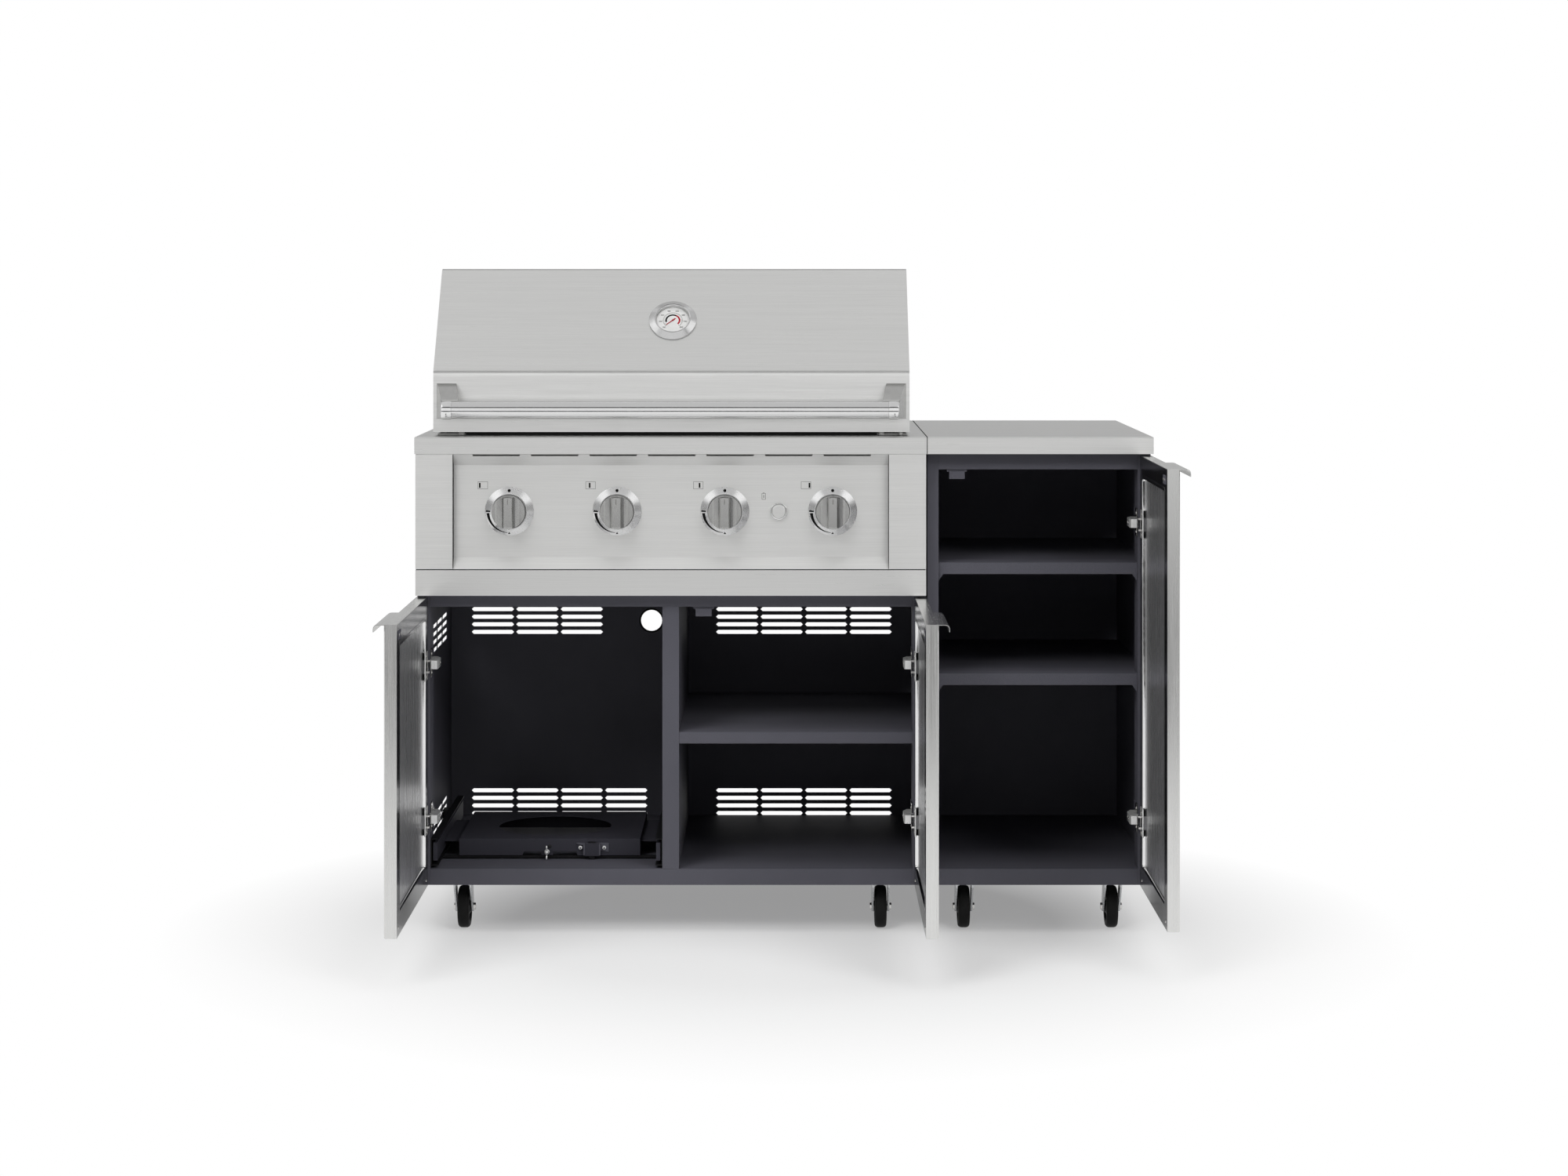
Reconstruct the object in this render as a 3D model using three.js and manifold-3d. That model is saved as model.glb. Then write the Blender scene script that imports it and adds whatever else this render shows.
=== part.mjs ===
// Outdoor kitchen island: a gas grill cabinet and a side cabinet on casters, with folded sheet
// panels, a hinged hood, three framed doors and a pull-out tray for the gas bottle.
// Millimetres. X runs to the right as seen from the front, Y to the rear and Z up.
import * as THREE from "three";
import { mergeVertices } from "three/addons/utils/BufferGeometryUtils.js";
import Module from "manifold-3d";

const wasm = await Module();
wasm.setup();

// Driving dimensions: overall
const OVERALL_WIDTH = 1330;
const WORKTOP_DEPTH = 633;
const WORKTOP_TOP = 900;
const APRON_HEIGHT = 31;
const SEAM_X = 257.6;
const SHEET = 1.5;
const CLEARANCE = 0.3;

// Driving dimensions: cabinets
const CABINET_INSET = 1.8;
const CABINET_FRONT = 33.5;
const CABINET_BACK = 603.3;
const CABINET_UNDERSIDE = 87.5;
const CABINET_FLOOR = 116.5;
const STILE_WIDTH = 23;
const NARROW_STILE = 20;
const LIP_DEPTH = 55;
const REAR_FLANGE = 17;
const RAIL_BOTTOM = 591;
const TRIM_BOTTOM = 614;
const TRIM_TOP = 660.4;
const SIDE_RAIL_BOTTOM = 839.5;

const GRILL_LEFT = -OVERALL_WIDTH / 2;
const GRILL_RIGHT = SEAM_X - CLEARANCE / 2;
const GRILL_CENTRE = (GRILL_LEFT + GRILL_RIGHT) / 2;
const SIDE_LEFT = SEAM_X + CLEARANCE / 2;
const SIDE_RIGHT = OVERALL_WIDTH / 2;
const PANEL_TOP = WORKTOP_TOP - SHEET - CLEARANCE;
const BACK_FACE = CABINET_BACK - 2 * SHEET - CLEARANCE;
const DIVIDER_LEFT = -220;
const DIVIDER_WIDTH = 30;
const GRILL_SHELF_TOP = 364;
const SIDE_SHELF_TOPS = { side_upper_shelf: 670, side_lower_shelf: 469 };
const SHELF_HEIGHT = 20.6;

// Driving dimensions: ventilation slots
const SLOT_LENGTH = 84;
const SLOT_HEIGHT = 8;
const SLOT_PITCH_ALONG = 88.4;
const SLOT_PITCH_UP = 15.1;
const SLOT_ROWS = 4;
const UPPER_SLOTS_Z = 480.7;
const LOWER_SLOTS_Z = 120.3;
const HOSE_HOLE = { x: -263.4, z: 503.6, radius: 21 };

// Driving dimensions: control panel
const PANEL_FACE = 16;
const PANEL_FRONT = 1;
const CHEEK_WIDTH = 67;
const PANEL_BOTTOM = 661.5;
const KNOB_Z = 765;
const KNOB_PITCH = 194.3;
const KNOB_COUNT = 4;
const KNOB_RADIUS = 30.5;
const BEZEL_RADIUS = 43.75;
const IGNITER_X = -9.3;

// Driving dimensions: doors and hinges
const DOOR_THICKNESS = 21.4;
const PIVOT_FROM_EDGE = 9.5;
const PIVOT_FROM_INNER_FACE = 10.9;
const PIVOT_Y = 18.5;
const PIVOT_FROM_SIDE = 10.5;
const DOOR_BOTTOM = 88;
const GRILL_DOOR_HEIGHT = 522;
const SIDE_DOOR_HEIGHT = 777;
const GRILL_DOOR_WIDTH = 458.6;
const SIDE_DOOR_WIDTH = 405;
const DOOR_OPEN = Math.PI / 2;
const GRILL_HINGES_Z = [209.5, 488];
const SIDE_HINGES_Z = [208, 743];

// Driving dimensions: hood
const HOOD_HALF_WIDTH = 431;
const HOOD_SHEET = 2.5;
const HOOD_BOTTOM = 907;
const HOOD_FRONT = 35;
const HOOD = { bend: 1016, top: 1202, crownFront: 184.8, crownBack: 560, rearEdge: 965 };
const HOOD_SLOPE = Math.atan2(HOOD.top - HOOD.bend, HOOD.crownFront - HOOD_FRONT);
const HOOD_PIVOT = { y: 530, z: 945 };
const GAUGE_Y = 108.2;
const GAUGE_Z = HOOD.bend + (GAUGE_Y - HOOD_FRONT) * Math.tan(HOOD_SLOPE);
const HANDLE = { y: -24, z: 949, radius: 15.5 };

// Driving dimensions: firebox
const FIREBOX_HALF_WIDTH = 416;
const FIREBOX_FRONT = 82;
const FIREBOX_BACK = 548;
const FIREBOX_SHEET = 2;
const BURNER_RADIUS = 15;
const BURNER_SIDES = 10;
const BURNER_REAR = 500;
const GRATE_Z = 879.8;

// Driving dimensions: gas bottle tray
const TRAY = { left: -597.5, right: -264.7, front: 130, back: 421, top: 154, bottom: 123.5 };
const BOTTLE_HOLE = { x: -430.6, y: 268, radius: 105.5 };
const SLIDE = { front: 40, back: 510, bottom: 121.5, top: 170, width: 13 };

// Driving dimensions: casters
const WHEEL_RADIUS = 38;
const WHEEL_WIDTH = 24;
const CASTER_XS = { grill: [-583, 176], side: [327.5, 597] };
const FRONT_SWIVEL_Y = 65;
const CASTER_TRAIL = 25;
const REAR_CASTER_Y = 545;
const CROWN_TOP = 98;

const KNOB_XS = Array.from(
  { length: KNOB_COUNT },
  (_, i) => GRILL_CENTRE + (i - (KNOB_COUNT - 1) / 2) * KNOB_PITCH,
);

// Materials
function finish(color, roughness, metalness) {
  return new THREE.MeshStandardMaterial({ color, roughness, metalness, flatShading: true });
}

const STAINLESS = finish(0xc4c4c2, 0.35, 1);
const POLISHED = finish(0xd8d8d8, 0.12, 1);
const SLATE = finish(0x4a4954, 0.6, 0.2);
const IRON = finish(0x26262a, 0.7, 0.3);
const BRASS = finish(0xb08d57, 0.4, 1);
const ZINC = finish(0xb9bcc0, 0.35, 0.9);
const BLACK = finish(0x141416, 0.6, 0.1);

// Solids
function signedVolume(geometry) {
  const { position } = geometry.attributes;
  const index = geometry.index.array;
  const [a, b, c] = [new THREE.Vector3(), new THREE.Vector3(), new THREE.Vector3()];
  let total = 0;
  for (let i = 0; i < index.length; i += 3) {
    a.fromBufferAttribute(position, index[i]);
    b.fromBufferAttribute(position, index[i + 1]);
    c.fromBufferAttribute(position, index[i + 2]);
    total += a.dot(b.cross(c)) / 6;
  }
  return total;
}

// Shares the vertices of a closed surface, drops collapsed triangles and turns its faces outward.
function weld(geometry) {
  const bare = geometry.clone();
  bare.deleteAttribute("normal");
  bare.deleteAttribute("uv");
  const merged = mergeVertices(bare, 1e-4);
  const index = [];
  for (let i = 0; i < merged.index.count; i += 3) {
    const [a, b, c] = merged.index.array.slice(i, i + 3);
    if (a !== b && b !== c && c !== a) index.push(a, b, c);
  }
  merged.setIndex(index);
  if (signedVolume(merged) < 0) merged.setIndex(index.reverse());
  return merged;
}

function toSolid(geometry) {
  const welded = weld(geometry);
  return new wasm.Manifold(
    new wasm.Mesh({
      numProp: 3,
      vertProperties: new Float32Array(welded.attributes.position.array),
      triVerts: new Uint32Array(welded.index.array),
    }),
  );
}

function toGeometry(solid) {
  const mesh = solid.getMesh();
  return new THREE.BufferGeometry()
    .setAttribute("position", new THREE.BufferAttribute(mesh.vertProperties, 3))
    .setIndex(new THREE.BufferAttribute(mesh.triVerts, 1));
}

function join(...pieces) {
  const solids = pieces.flat(Infinity).map(toSolid);
  return toGeometry(solids.reduce((whole, piece) => whole.add(piece)));
}

function cut(base, ...tools) {
  const solids = tools.flat(Infinity).map(toSolid);
  return toGeometry(solids.reduce((rest, tool) => rest.subtract(tool), toSolid(base)));
}

// Shapes
function block(x0, x1, y0, y1, z0, z1) {
  const box = new THREE.BoxGeometry(Math.abs(x1 - x0), Math.abs(y1 - y0), Math.abs(z1 - z0));
  return box.translate((x0 + x1) / 2, (y0 + y1) / 2, (z0 + z1) / 2);
}

function extrude(outline, depth, holes = []) {
  const shape = new THREE.Shape(outline.map(([u, v]) => new THREE.Vector2(u, v)));
  shape.holes = holes.map((hole) => new THREE.Path(hole.map(([u, v]) => new THREE.Vector2(u, v))));
  return new THREE.ExtrudeGeometry(shape, { depth, bevelEnabled: false });
}

// An outline in Y and Z, drawn out along X.
function prismX(outline, x0, x1, holes) {
  const toX = new THREE.Matrix4().makeBasis(
    new THREE.Vector3(0, 1, 0),
    new THREE.Vector3(0, 0, 1),
    new THREE.Vector3(1, 0, 0),
  );
  const prism = extrude(outline, Math.abs(x1 - x0), holes).applyMatrix4(toX);
  return prism.translate(Math.min(x0, x1), 0, 0);
}

// An outline in X and Z, drawn out along Y.
function prismY(outline, y0, y1, holes) {
  return extrude(outline, y1 - y0, holes).rotateX(Math.PI / 2).translate(0, y1, 0);
}

// An outline in X and Y, drawn out along Z.
function prismZ(outline, z0, z1, holes) {
  return extrude(outline, z1 - z0, holes).translate(0, 0, z0);
}

function rod(radius, from, to, sides = 16) {
  const start = new THREE.Vector3(...from);
  const end = new THREE.Vector3(...to);
  const axis = end.clone().sub(start);
  const upright = new THREE.CylinderGeometry(radius, radius, axis.length(), sides);
  const turn = new THREE.Quaternion();
  turn.setFromUnitVectors(new THREE.Vector3(0, 1, 0), axis.normalize());
  return upright.applyQuaternion(turn).translate(...start.add(end).multiplyScalar(0.5));
}

// A profile of radius and height, revolved about Z.
function turned(profile, sides) {
  const points = profile.map(([radius, height]) => new THREE.Vector2(radius, height));
  return new THREE.LatheGeometry(points, sides).rotateX(Math.PI / 2);
}

// A closed skin over rings that have the same number of points.
function loft(rings) {
  const count = rings[0].length;
  const last = (rings.length - 1) * count;
  const index = [];
  for (let base = 0; base < last; base += count) {
    for (let i = 0; i < count; i++) {
      const j = (i + 1) % count;
      index.push(base + i, base + j, base + count + j);
      index.push(base + i, base + count + j, base + count + i);
    }
  }
  for (let i = 1; i < count - 1; i++) {
    index.push(0, i + 1, i);
    index.push(last, last + i, last + i + 1);
  }
  return new THREE.BufferGeometry()
    .setAttribute("position", new THREE.Float32BufferAttribute(rings.flat(2), 3))
    .setIndex(index);
}

function ringY(x0, x1, z0, z1, y) {
  return [[x0, y, z0], [x1, y, z0], [x1, y, z1], [x0, y, z1]];
}

function ringZ(x0, x1, y0, y1, z) {
  return [[x0, y0, z], [x1, y0, z], [x1, y1, z], [x0, y1, z]];
}

function rectangle(u0, u1, v0, v1) {
  return [[u0, v0], [u1, v0], [u1, v1], [u0, v1]];
}

function circle(u, v, radius, sides = 24) {
  return Array.from({ length: sides }, (_, i) => {
    const angle = (i * 2 * Math.PI) / sides;
    return [u + radius * Math.cos(angle), v + radius * Math.sin(angle)];
  });
}

// A long slot with round ends.
function slot(u, v, length, height, steps = 2) {
  const radius = height / 2;
  const reach = length / 2 - radius;
  const end = (centre, start) =>
    Array.from({ length: steps + 1 }, (_, i) => {
      const angle = start + (i * Math.PI) / steps;
      return [centre + radius * Math.cos(angle), v + radius * Math.sin(angle)];
    });
  return [...end(u + reach, -Math.PI / 2), ...end(u - reach, Math.PI / 2)];
}

// Rounds the corners of an open path.
function rounded(path, radius, steps = 4) {
  return path.flatMap((corner, i) => {
    if (i === 0 || i === path.length - 1) return [corner];
    const at = new THREE.Vector2(...corner);
    const back = new THREE.Vector2(...path[i - 1]).sub(at).normalize();
    const ahead = new THREE.Vector2(...path[i + 1]).sub(at).normalize();
    const reach = radius / Math.tan(back.angleTo(ahead) / 2);
    const start = at.clone().addScaledVector(back, reach);
    const end = at.clone().addScaledVector(ahead, reach);
    const bend = new THREE.QuadraticBezierCurve(start, at, end);
    return bend.getPoints(steps).map((point) => [point.x, point.y]);
  });
}

// The outline of a strip folded along a path, with its thickness on the left of the path.
function foldedStrip(path, thickness = SHEET) {
  const normals = path.slice(1).map(([u, v], i) => {
    const along = new THREE.Vector2(u - path[i][0], v - path[i][1]).normalize();
    return new THREE.Vector2(-along.y, along.x);
  });
  const inner = path.map(([u, v], i) => {
    const before = normals[i - 1] ?? normals[i];
    const after = normals[i] ?? normals[i - 1];
    const mitre = before.clone().add(after);
    mitre.multiplyScalar(thickness / mitre.dot(before));
    return [u + mitre.x, v + mitre.y];
  });
  return [...path, ...inner.reverse()];
}

// Slots in rows and columns; the first slot's centre is the lowest one nearest the origin side.
function slotField(u, v, columns, rows = SLOT_ROWS) {
  const fields = [];
  for (let row = 0; row < rows; row++) {
    for (let column = 0; column < columns; column++) {
      const along = u + column * SLOT_PITCH_ALONG;
      fields.push(slot(along, v + row * SLOT_PITCH_UP, SLOT_LENGTH, SLOT_HEIGHT));
    }
  }
  return fields;
}

// Cabinet sides: a wall folded into a stile with a deep lip in front and a flange behind
function cabinetSide(outer, inward, stile) {
  const fold = foldedStrip([
    [REAR_FLANGE, CABINET_BACK],
    [0, CABINET_BACK],
    [0, CABINET_FRONT],
    [stile, CABINET_FRONT],
    [stile, CABINET_FRONT + LIP_DEPTH],
  ]);
  const outline = fold.map(([u, y]) => [outer + inward * u, y]);
  return prismZ(outline, CABINET_UNDERSIDE, PANEL_TOP);
}

// The fixed half of a cup hinge: a mounting plate on the stile's lip and an arm with a round nose.
function hingeArm(lip, inward, z) {
  const nose = [[-0.7, 26], [1.5, 18], [6, 13.5], [11, 13.5], [15, 18], [16, 26]];
  const arm = [[-0.7, 80], ...nose, [16, 62], [9, 80]];
  const outline = arm.map(([u, y]) => [lip + inward * u, y]);
  return [
    prismZ(outline, z - 7.5, z + 7.5),
    block(lip - inward * 0.7, lip + inward * 1.5, 36, 84, z - 25, z + 25),
  ];
}

function hingedSide(outer, inward, stile, hinges) {
  const lip = outer + inward * stile;
  return join(cabinetSide(outer, inward, stile), hinges.map((z) => hingeArm(lip, inward, z)));
}

function grillLeftSide() {
  const outer = GRILL_LEFT + CABINET_INSET;
  const slots = [UPPER_SLOTS_Z, LOWER_SLOTS_Z].flatMap((z) => slotField(305, z, 3));
  const tools = slots.map((outline) => prismX(outline, outer - 5, outer + 5));
  return cut(hingedSide(outer, 1, STILE_WIDTH, GRILL_HINGES_Z), tools);
}

// Cabinet backs
function cabinetBack(left, right, holes) {
  const outline = rectangle(
    left + CABINET_INSET + SHEET + CLEARANCE,
    right - CABINET_INSET - SHEET - CLEARANCE,
    CABINET_UNDERSIDE,
    PANEL_TOP,
  );
  return prismY(outline, BACK_FACE, BACK_FACE + SHEET, holes);
}

function grillBack() {
  const firstLeft = -579;
  const firstRight = -93;
  return cabinetBack(GRILL_LEFT, GRILL_RIGHT, [
    ...slotField(firstLeft, UPPER_SLOTS_Z, 3),
    ...slotField(firstLeft, LOWER_SLOTS_Z, 4),
    ...slotField(firstRight, UPPER_SLOTS_Z, 4),
    ...slotField(firstRight, LOWER_SLOTS_Z, 4),
    circle(HOSE_HOLE.x, HOSE_HOLE.z, HOSE_HOLE.radius),
    rectangle(GRILL_CENTRE - 306, GRILL_CENTRE + 306, 638, 672),
  ]);
}

// Casters
function forkLegs(top, trail) {
  const boss = circle(trail, WHEEL_RADIUS, 9, 8).slice(4).concat([[trail + 9, WHEEL_RADIUS]]);
  const outline = [...boss, [18, top - 14], [18, top], [-18, top], [-18, top - 14]];
  return [-1, 1].map((side) => prismX(outline, side * 13, side * 15.5));
}

// Fork and axle about the swivel axis, with the crown as high as top.
function casterFork(top, trail) {
  return [
    ...forkLegs(top, trail),
    block(-15.5, 15.5, -18, 18, top - 2.5, top),
    rod(4, [-18.5, trail, WHEEL_RADIUS], [18.5, trail, WHEEL_RADIUS], 6),
  ];
}

function swivelFork() {
  return join(casterFork(95, CASTER_TRAIL), rod(19, [0, 0, 93], [0, 0, CROWN_TOP - CLEARANCE], 12));
}

function wheel() {
  const half = WHEEL_WIDTH / 2;
  const profile = [[4.5, -half], [30, -half + 3.5], [WHEEL_RADIUS, -half + 2.5]];
  const mirrored = profile.map(([radius, height]) => [radius, -height]).reverse();
  return weld(turned([...profile, ...mirrored, profile[0]], 14).rotateY(Math.PI / 2));
}

function swivelPlate(x) {
  return [
    block(x - 30, x + 30, FRONT_SWIVEL_Y - 28, FRONT_SWIVEL_Y + 32, 112.5, 115.2),
    rod(20, [x, FRONT_SWIVEL_Y, CROWN_TOP], [x, FRONT_SWIVEL_Y, 113], 12),
  ];
}

function rigidCaster(x) {
  const fork = casterFork(113, 0).map((piece) => piece.translate(x, REAR_CASTER_Y, 0));
  return [block(x - 30, x + 30, REAR_CASTER_Y - 30, REAR_CASTER_Y + 30, 112.5, 115.2), ...fork];
}

// Base pans: a floor with a folded front and rear edge, and the fixed halves of the casters
function basePan(left, right, leftStile, rightStile, casterXs) {
  const edge = CABINET_UNDERSIDE;
  const rear = BACK_FACE - CLEARANCE;
  const section = foldedStrip([
    [rear - 10, edge],
    [rear, edge],
    [rear, CABINET_FLOOR],
    [CABINET_FRONT, CABINET_FLOOR],
    [CABINET_FRONT, edge],
    [CABINET_FRONT + 6, edge],
  ]);
  const wall = CABINET_INSET + SHEET + CLEARANCE;
  const behindLip = CABINET_FRONT + LIP_DEPTH + CLEARANCE;
  const pan = prismX(
    section,
    left + CABINET_INSET + leftStile + CLEARANCE,
    right - CABINET_INSET - rightStile - CLEARANCE,
  );
  const floor = block(left + wall, right - wall, behindLip, rear, CABINET_FLOOR - SHEET, CABINET_FLOOR);
  return join(pan, floor, casterXs.map(swivelPlate), casterXs.map(rigidCaster));
}

// Rails and shelves
function frontRail(x0, x1, bottom, top, catchX0, catchX1) {
  const section = foldedStrip([
    [CABINET_FRONT + 26, top],
    [CABINET_FRONT, top],
    [CABINET_FRONT, bottom],
    [CABINET_FRONT + 26, bottom],
  ]);
  const catchTop = bottom + 0.5;
  return join(
    prismX(section, x0 + CLEARANCE, x1 - CLEARANCE),
    block(catchX0, catchX1, CABINET_FRONT + 3, CABINET_FRONT + 22, catchTop - 5, catchTop),
    block(catchX0 + 4, catchX1 - 4, CABINET_FRONT + 1, CABINET_FRONT + 20, catchTop - 18, catchTop - 4),
  );
}

// A shelf with folded front and rear edges, between two faces at its front and two walls behind.
function shelf({ front, back, top, faces, walls, gussets }) {
  const bottom = top - SHELF_HEIGHT;
  const section = foldedStrip([
    [back - 15, bottom],
    [back, bottom],
    [back, top],
    [front, top],
    [front, bottom],
    [front + 15, bottom],
  ]);
  const [x0, x1] = [faces[0] + CLEARANCE, faces[1] - CLEARANCE];
  const behindLip = CABINET_FRONT + LIP_DEPTH + CLEARANCE;
  const wings = block(walls[0] + CLEARANCE, walls[1] - CLEARANCE, behindLip, back, top - SHEET, top);
  const gusset = [[front, bottom + 0.5], [front + 16, bottom + 0.5], [front + 16, bottom - 12]];
  const ends = gussets ? [prismX(gusset, x0, x0 + SHEET), prismX(gusset, x1 - SHEET, x1)] : [];
  return join(prismX(section, x0, x1), wings, ends);
}

function divider() {
  const rear = BACK_FACE - CLEARANCE;
  const right = DIVIDER_LEFT + DIVIDER_WIDTH;
  const outline = foldedStrip([
    [right, rear],
    [right, CABINET_FRONT],
    [DIVIDER_LEFT, CABINET_FRONT],
    [DIVIDER_LEFT, rear],
  ].reverse());
  return prismZ(outline, CABINET_FLOOR + CLEARANCE, RAIL_BOTTOM - CLEARANCE);
}

// Worktops: pans with a turned-down apron and a softened upper edge
function worktop(left, right) {
  const bottom = WORKTOP_TOP - APRON_HEIGHT;
  const edge = 2;
  const outer = loft([
    ringZ(left, right, 0, WORKTOP_DEPTH, bottom),
    ringZ(left, right, 0, WORKTOP_DEPTH, WORKTOP_TOP - edge),
    ringZ(left + edge / 3, right - edge / 3, edge / 3, WORKTOP_DEPTH - edge / 3, WORKTOP_TOP - edge / 3),
    ringZ(left + edge, right - edge, edge, WORKTOP_DEPTH - edge, WORKTOP_TOP),
  ]);
  const hollow = block(
    left + SHEET,
    right - SHEET,
    SHEET,
    WORKTOP_DEPTH - SHEET,
    bottom - 1,
    WORKTOP_TOP - SHEET,
  );
  return cut(outer, hollow);
}

function grillWorktop() {
  const reach = FIREBOX_HALF_WIDTH + 3;
  const opening = block(
    GRILL_CENTRE - reach,
    GRILL_CENTRE + reach,
    FIREBOX_FRONT - 3,
    FIREBOX_BACK + 3,
    WORKTOP_TOP - 20,
    WORKTOP_TOP + 1,
  );
  return cut(worktop(GRILL_LEFT, GRILL_RIGHT), opening);
}

// Control panel: two flush cheeks and a recessed face with slanted upper and lower strips
function cheek(outer, inward) {
  const rear = CABINET_FRONT - CLEARANCE;
  const fold = foldedStrip([
    [STILE_WIDTH, rear],
    [0, rear],
    [0, PANEL_FRONT],
    [CHEEK_WIDTH, PANEL_FRONT],
    [CHEEK_WIDTH, PANEL_FACE + SHEET],
  ]);
  const outline = fold.map(([u, y]) => [outer + inward * u, y]);
  return prismZ(outline, PANEL_BOTTOM, WORKTOP_TOP - APRON_HEIGHT - CLEARANCE);
}

function knobBezel(x) {
  const cone = [[BEZEL_RADIUS, -0.5], [BEZEL_RADIUS, 1], [33.5, 8], [32, 5]];
  const profile = [[10, -0.5], ...cone, [10, 5], [10, -0.5]];
  return turned(profile, 16).rotateX(Math.PI / 2).translate(x, PANEL_FACE, KNOB_Z);
}

function igniterRing() {
  const profile = [[13.2, -0.5], [16.5, -0.5], [16.5, 2.5], [13.2, 3.5], [13.2, -0.5]];
  return turned(profile, 12).rotateX(Math.PI / 2).translate(IGNITER_X, PANEL_FACE, KNOB_Z);
}

function controlPanel() {
  const left = GRILL_LEFT + CABINET_INSET;
  const right = GRILL_RIGHT - CABINET_INSET;
  const top = WORKTOP_TOP - APRON_HEIGHT - CLEARANCE;
  const face = foldedStrip([
    [30, top],
    [PANEL_FRONT + 1, top],
    [PANEL_FACE, 848],
    [PANEL_FACE, 682.5],
    [PANEL_FRONT, PANEL_BOTTOM],
    [30, PANEL_BOTTOM],
  ]);
  const inner = [left + CHEEK_WIDTH - SHEET, right - CHEEK_WIDTH + SHEET];
  const vents = Array.from({ length: 7 }, (_, i) => {
    const start = -560.5 + i * 105.3;
    return block(start, start + 85, -1, 9, top - 3.6, top + 1);
  });
  const stemHoles = KNOB_XS.map((x) => rod(6, [x, 5, KNOB_Z], [x, 25, KNOB_Z], 8));
  const igniterHole = rod(11.5, [IGNITER_X, 5, KNOB_Z], [IGNITER_X, 25, KNOB_Z], 12);
  const shell = cut(
    join(cheek(left, 1), cheek(right, -1), prismX(face, ...inner)),
    vents,
    stemHoles,
    igniterHole,
  );
  return join(shell, KNOB_XS.map(knobBezel), igniterRing());
}

function lowerTrim() {
  const rear = CABINET_FRONT - CLEARANCE;
  const path = [[rear, TRIM_TOP], [PANEL_FRONT, TRIM_TOP], [PANEL_FRONT, TRIM_BOTTOM], [rear, TRIM_BOTTOM]];
  const [left, right] = [GRILL_LEFT + CABINET_INSET, GRILL_RIGHT - CABINET_INSET];
  const end = rectangle(PANEL_FRONT, rear, TRIM_BOTTOM, TRIM_TOP);
  return join(
    prismX(foldedStrip(path), left, right),
    prismX(end, left, left + SHEET),
    prismX(end, right - SHEET, right),
  );
}

// Knobs, stems and igniter, each about its own axis with the front along -Y
function knob() {
  const rear = -6;
  const profile = [
    [0, rear + 30],
    [26.5, rear + 30],
    [29.5, rear + 27],
    [KNOB_RADIUS, rear + 22],
    [KNOB_RADIUS, rear],
    [0, rear],
  ];
  const body = turned(profile, 20).rotateX(Math.PI / 2);
  const bore = rod(4.5, [0, -rear + 1, 0], [0, -rear - 18, 0], 8);
  const scoop = 26;
  const scoopX = 3.2 + scoop;
  const scoops = [-1, 1].map((side) =>
    rod(scoop, [side * scoopX, -38, -40], [side * scoopX, -38, 40], 24),
  );
  return cut(body, bore, scoops);
}

function valveStem() {
  return join(
    rod(4, [0, -6, 0], [0, 49.7, 0], 8),
    rod(7.5, [0, 40, 0], [0, 49.7, 0], 8),
  );
}

function igniterButton() {
  return join(
    turned([[0, 9], [10.5, 9], [12.7, 7], [12.7, 4.4], [0, 4.4]], 12).rotateX(Math.PI / 2),
    rod(11, [0, -5, 0], [0, 26, 0], 12),
  );
}

// Firebox: a tub with a funnel floor, hung on its rim, with ledges, heat tents and hood pivots
function tub(inset, rim) {
  const half = FIREBOX_HALF_WIDTH - inset;
  const [front, back] = [FIREBOX_FRONT + inset, FIREBOX_BACK - inset];
  const shoulder = 705 + inset;
  const rings = [
    ringZ(-60 + inset, 60 - inset, 285 + inset, 345 - inset, inset ? 674 : 676),
    ringZ(-half, half, front, back, shoulder),
    ringZ(-half, half, front, back, rim),
  ];
  return loft(rings);
}

function heatTent(x) {
  const path = [[x + 48, 812], [x, 838], [x - 48, 812]];
  return prismY(foldedStrip(path), FIREBOX_FRONT + 1, FIREBOX_BACK - 1);
}

function hoodPivot(side) {
  const ear = [[512, 900.5], [548, 900.5], [542, 950], [536, 957], [524, 957], [518, 950]];
  const { y, z } = HOOD_PIVOT;
  return [
    prismX(ear, side * 423, side * 426),
    rod(5, [side * 424, y, z], [side * 433, y, z], 12),
    rod(9, [side * 431.4, y, z], [side * 434.5, y, z], 12),
  ];
}

function trayRunner(side) {
  const fold = foldedStrip([[292, 640], [307.5, 640], [307.5, 700]]);
  const outline = fold.map(([u, z]) => [side * u, z]);
  return prismY(outline, 120, BACK_FACE - CLEARANCE);
}

function firebox() {
  const rim = WORKTOP_TOP + CLEARANCE;
  const reach = FIREBOX_HALF_WIDTH + 11;
  const inner = tub(FIREBOX_SHEET, rim + 10);
  const flange = block(-reach, reach, FIREBOX_FRONT - 12, FIREBOX_BACK + 9, rim, rim + FIREBOX_SHEET);
  const shell = cut(join(tub(0, rim + FIREBOX_SHEET), flange, [-1, 1].map(trayRunner)), inner);
  const width = FIREBOX_HALF_WIDTH - 1;
  const ledges = [
    block(-width, width, FIREBOX_FRONT + 1, FIREBOX_FRONT + 15, 876, GRATE_Z - CLEARANCE),
    block(-width, width, FIREBOX_BACK - 15, FIREBOX_BACK - 1, 876, GRATE_Z - CLEARANCE),
  ];
  const tents = KNOB_XS.map((x) => heatTent(x - GRILL_CENTRE));
  const mouths = KNOB_XS.map((x) => {
    const centre = x - GRILL_CENTRE;
    const radius = BURNER_RADIUS + CLEARANCE;
    const [from, to] = [FIREBOX_FRONT - 5, FIREBOX_FRONT + 5];
    return rod(radius, [centre, from, KNOB_Z], [centre, to, KNOB_Z], BURNER_SIDES);
  });
  return cut(join(shell, ledges, tents, [-1, 1].map(hoodPivot)), mouths);
}

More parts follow.
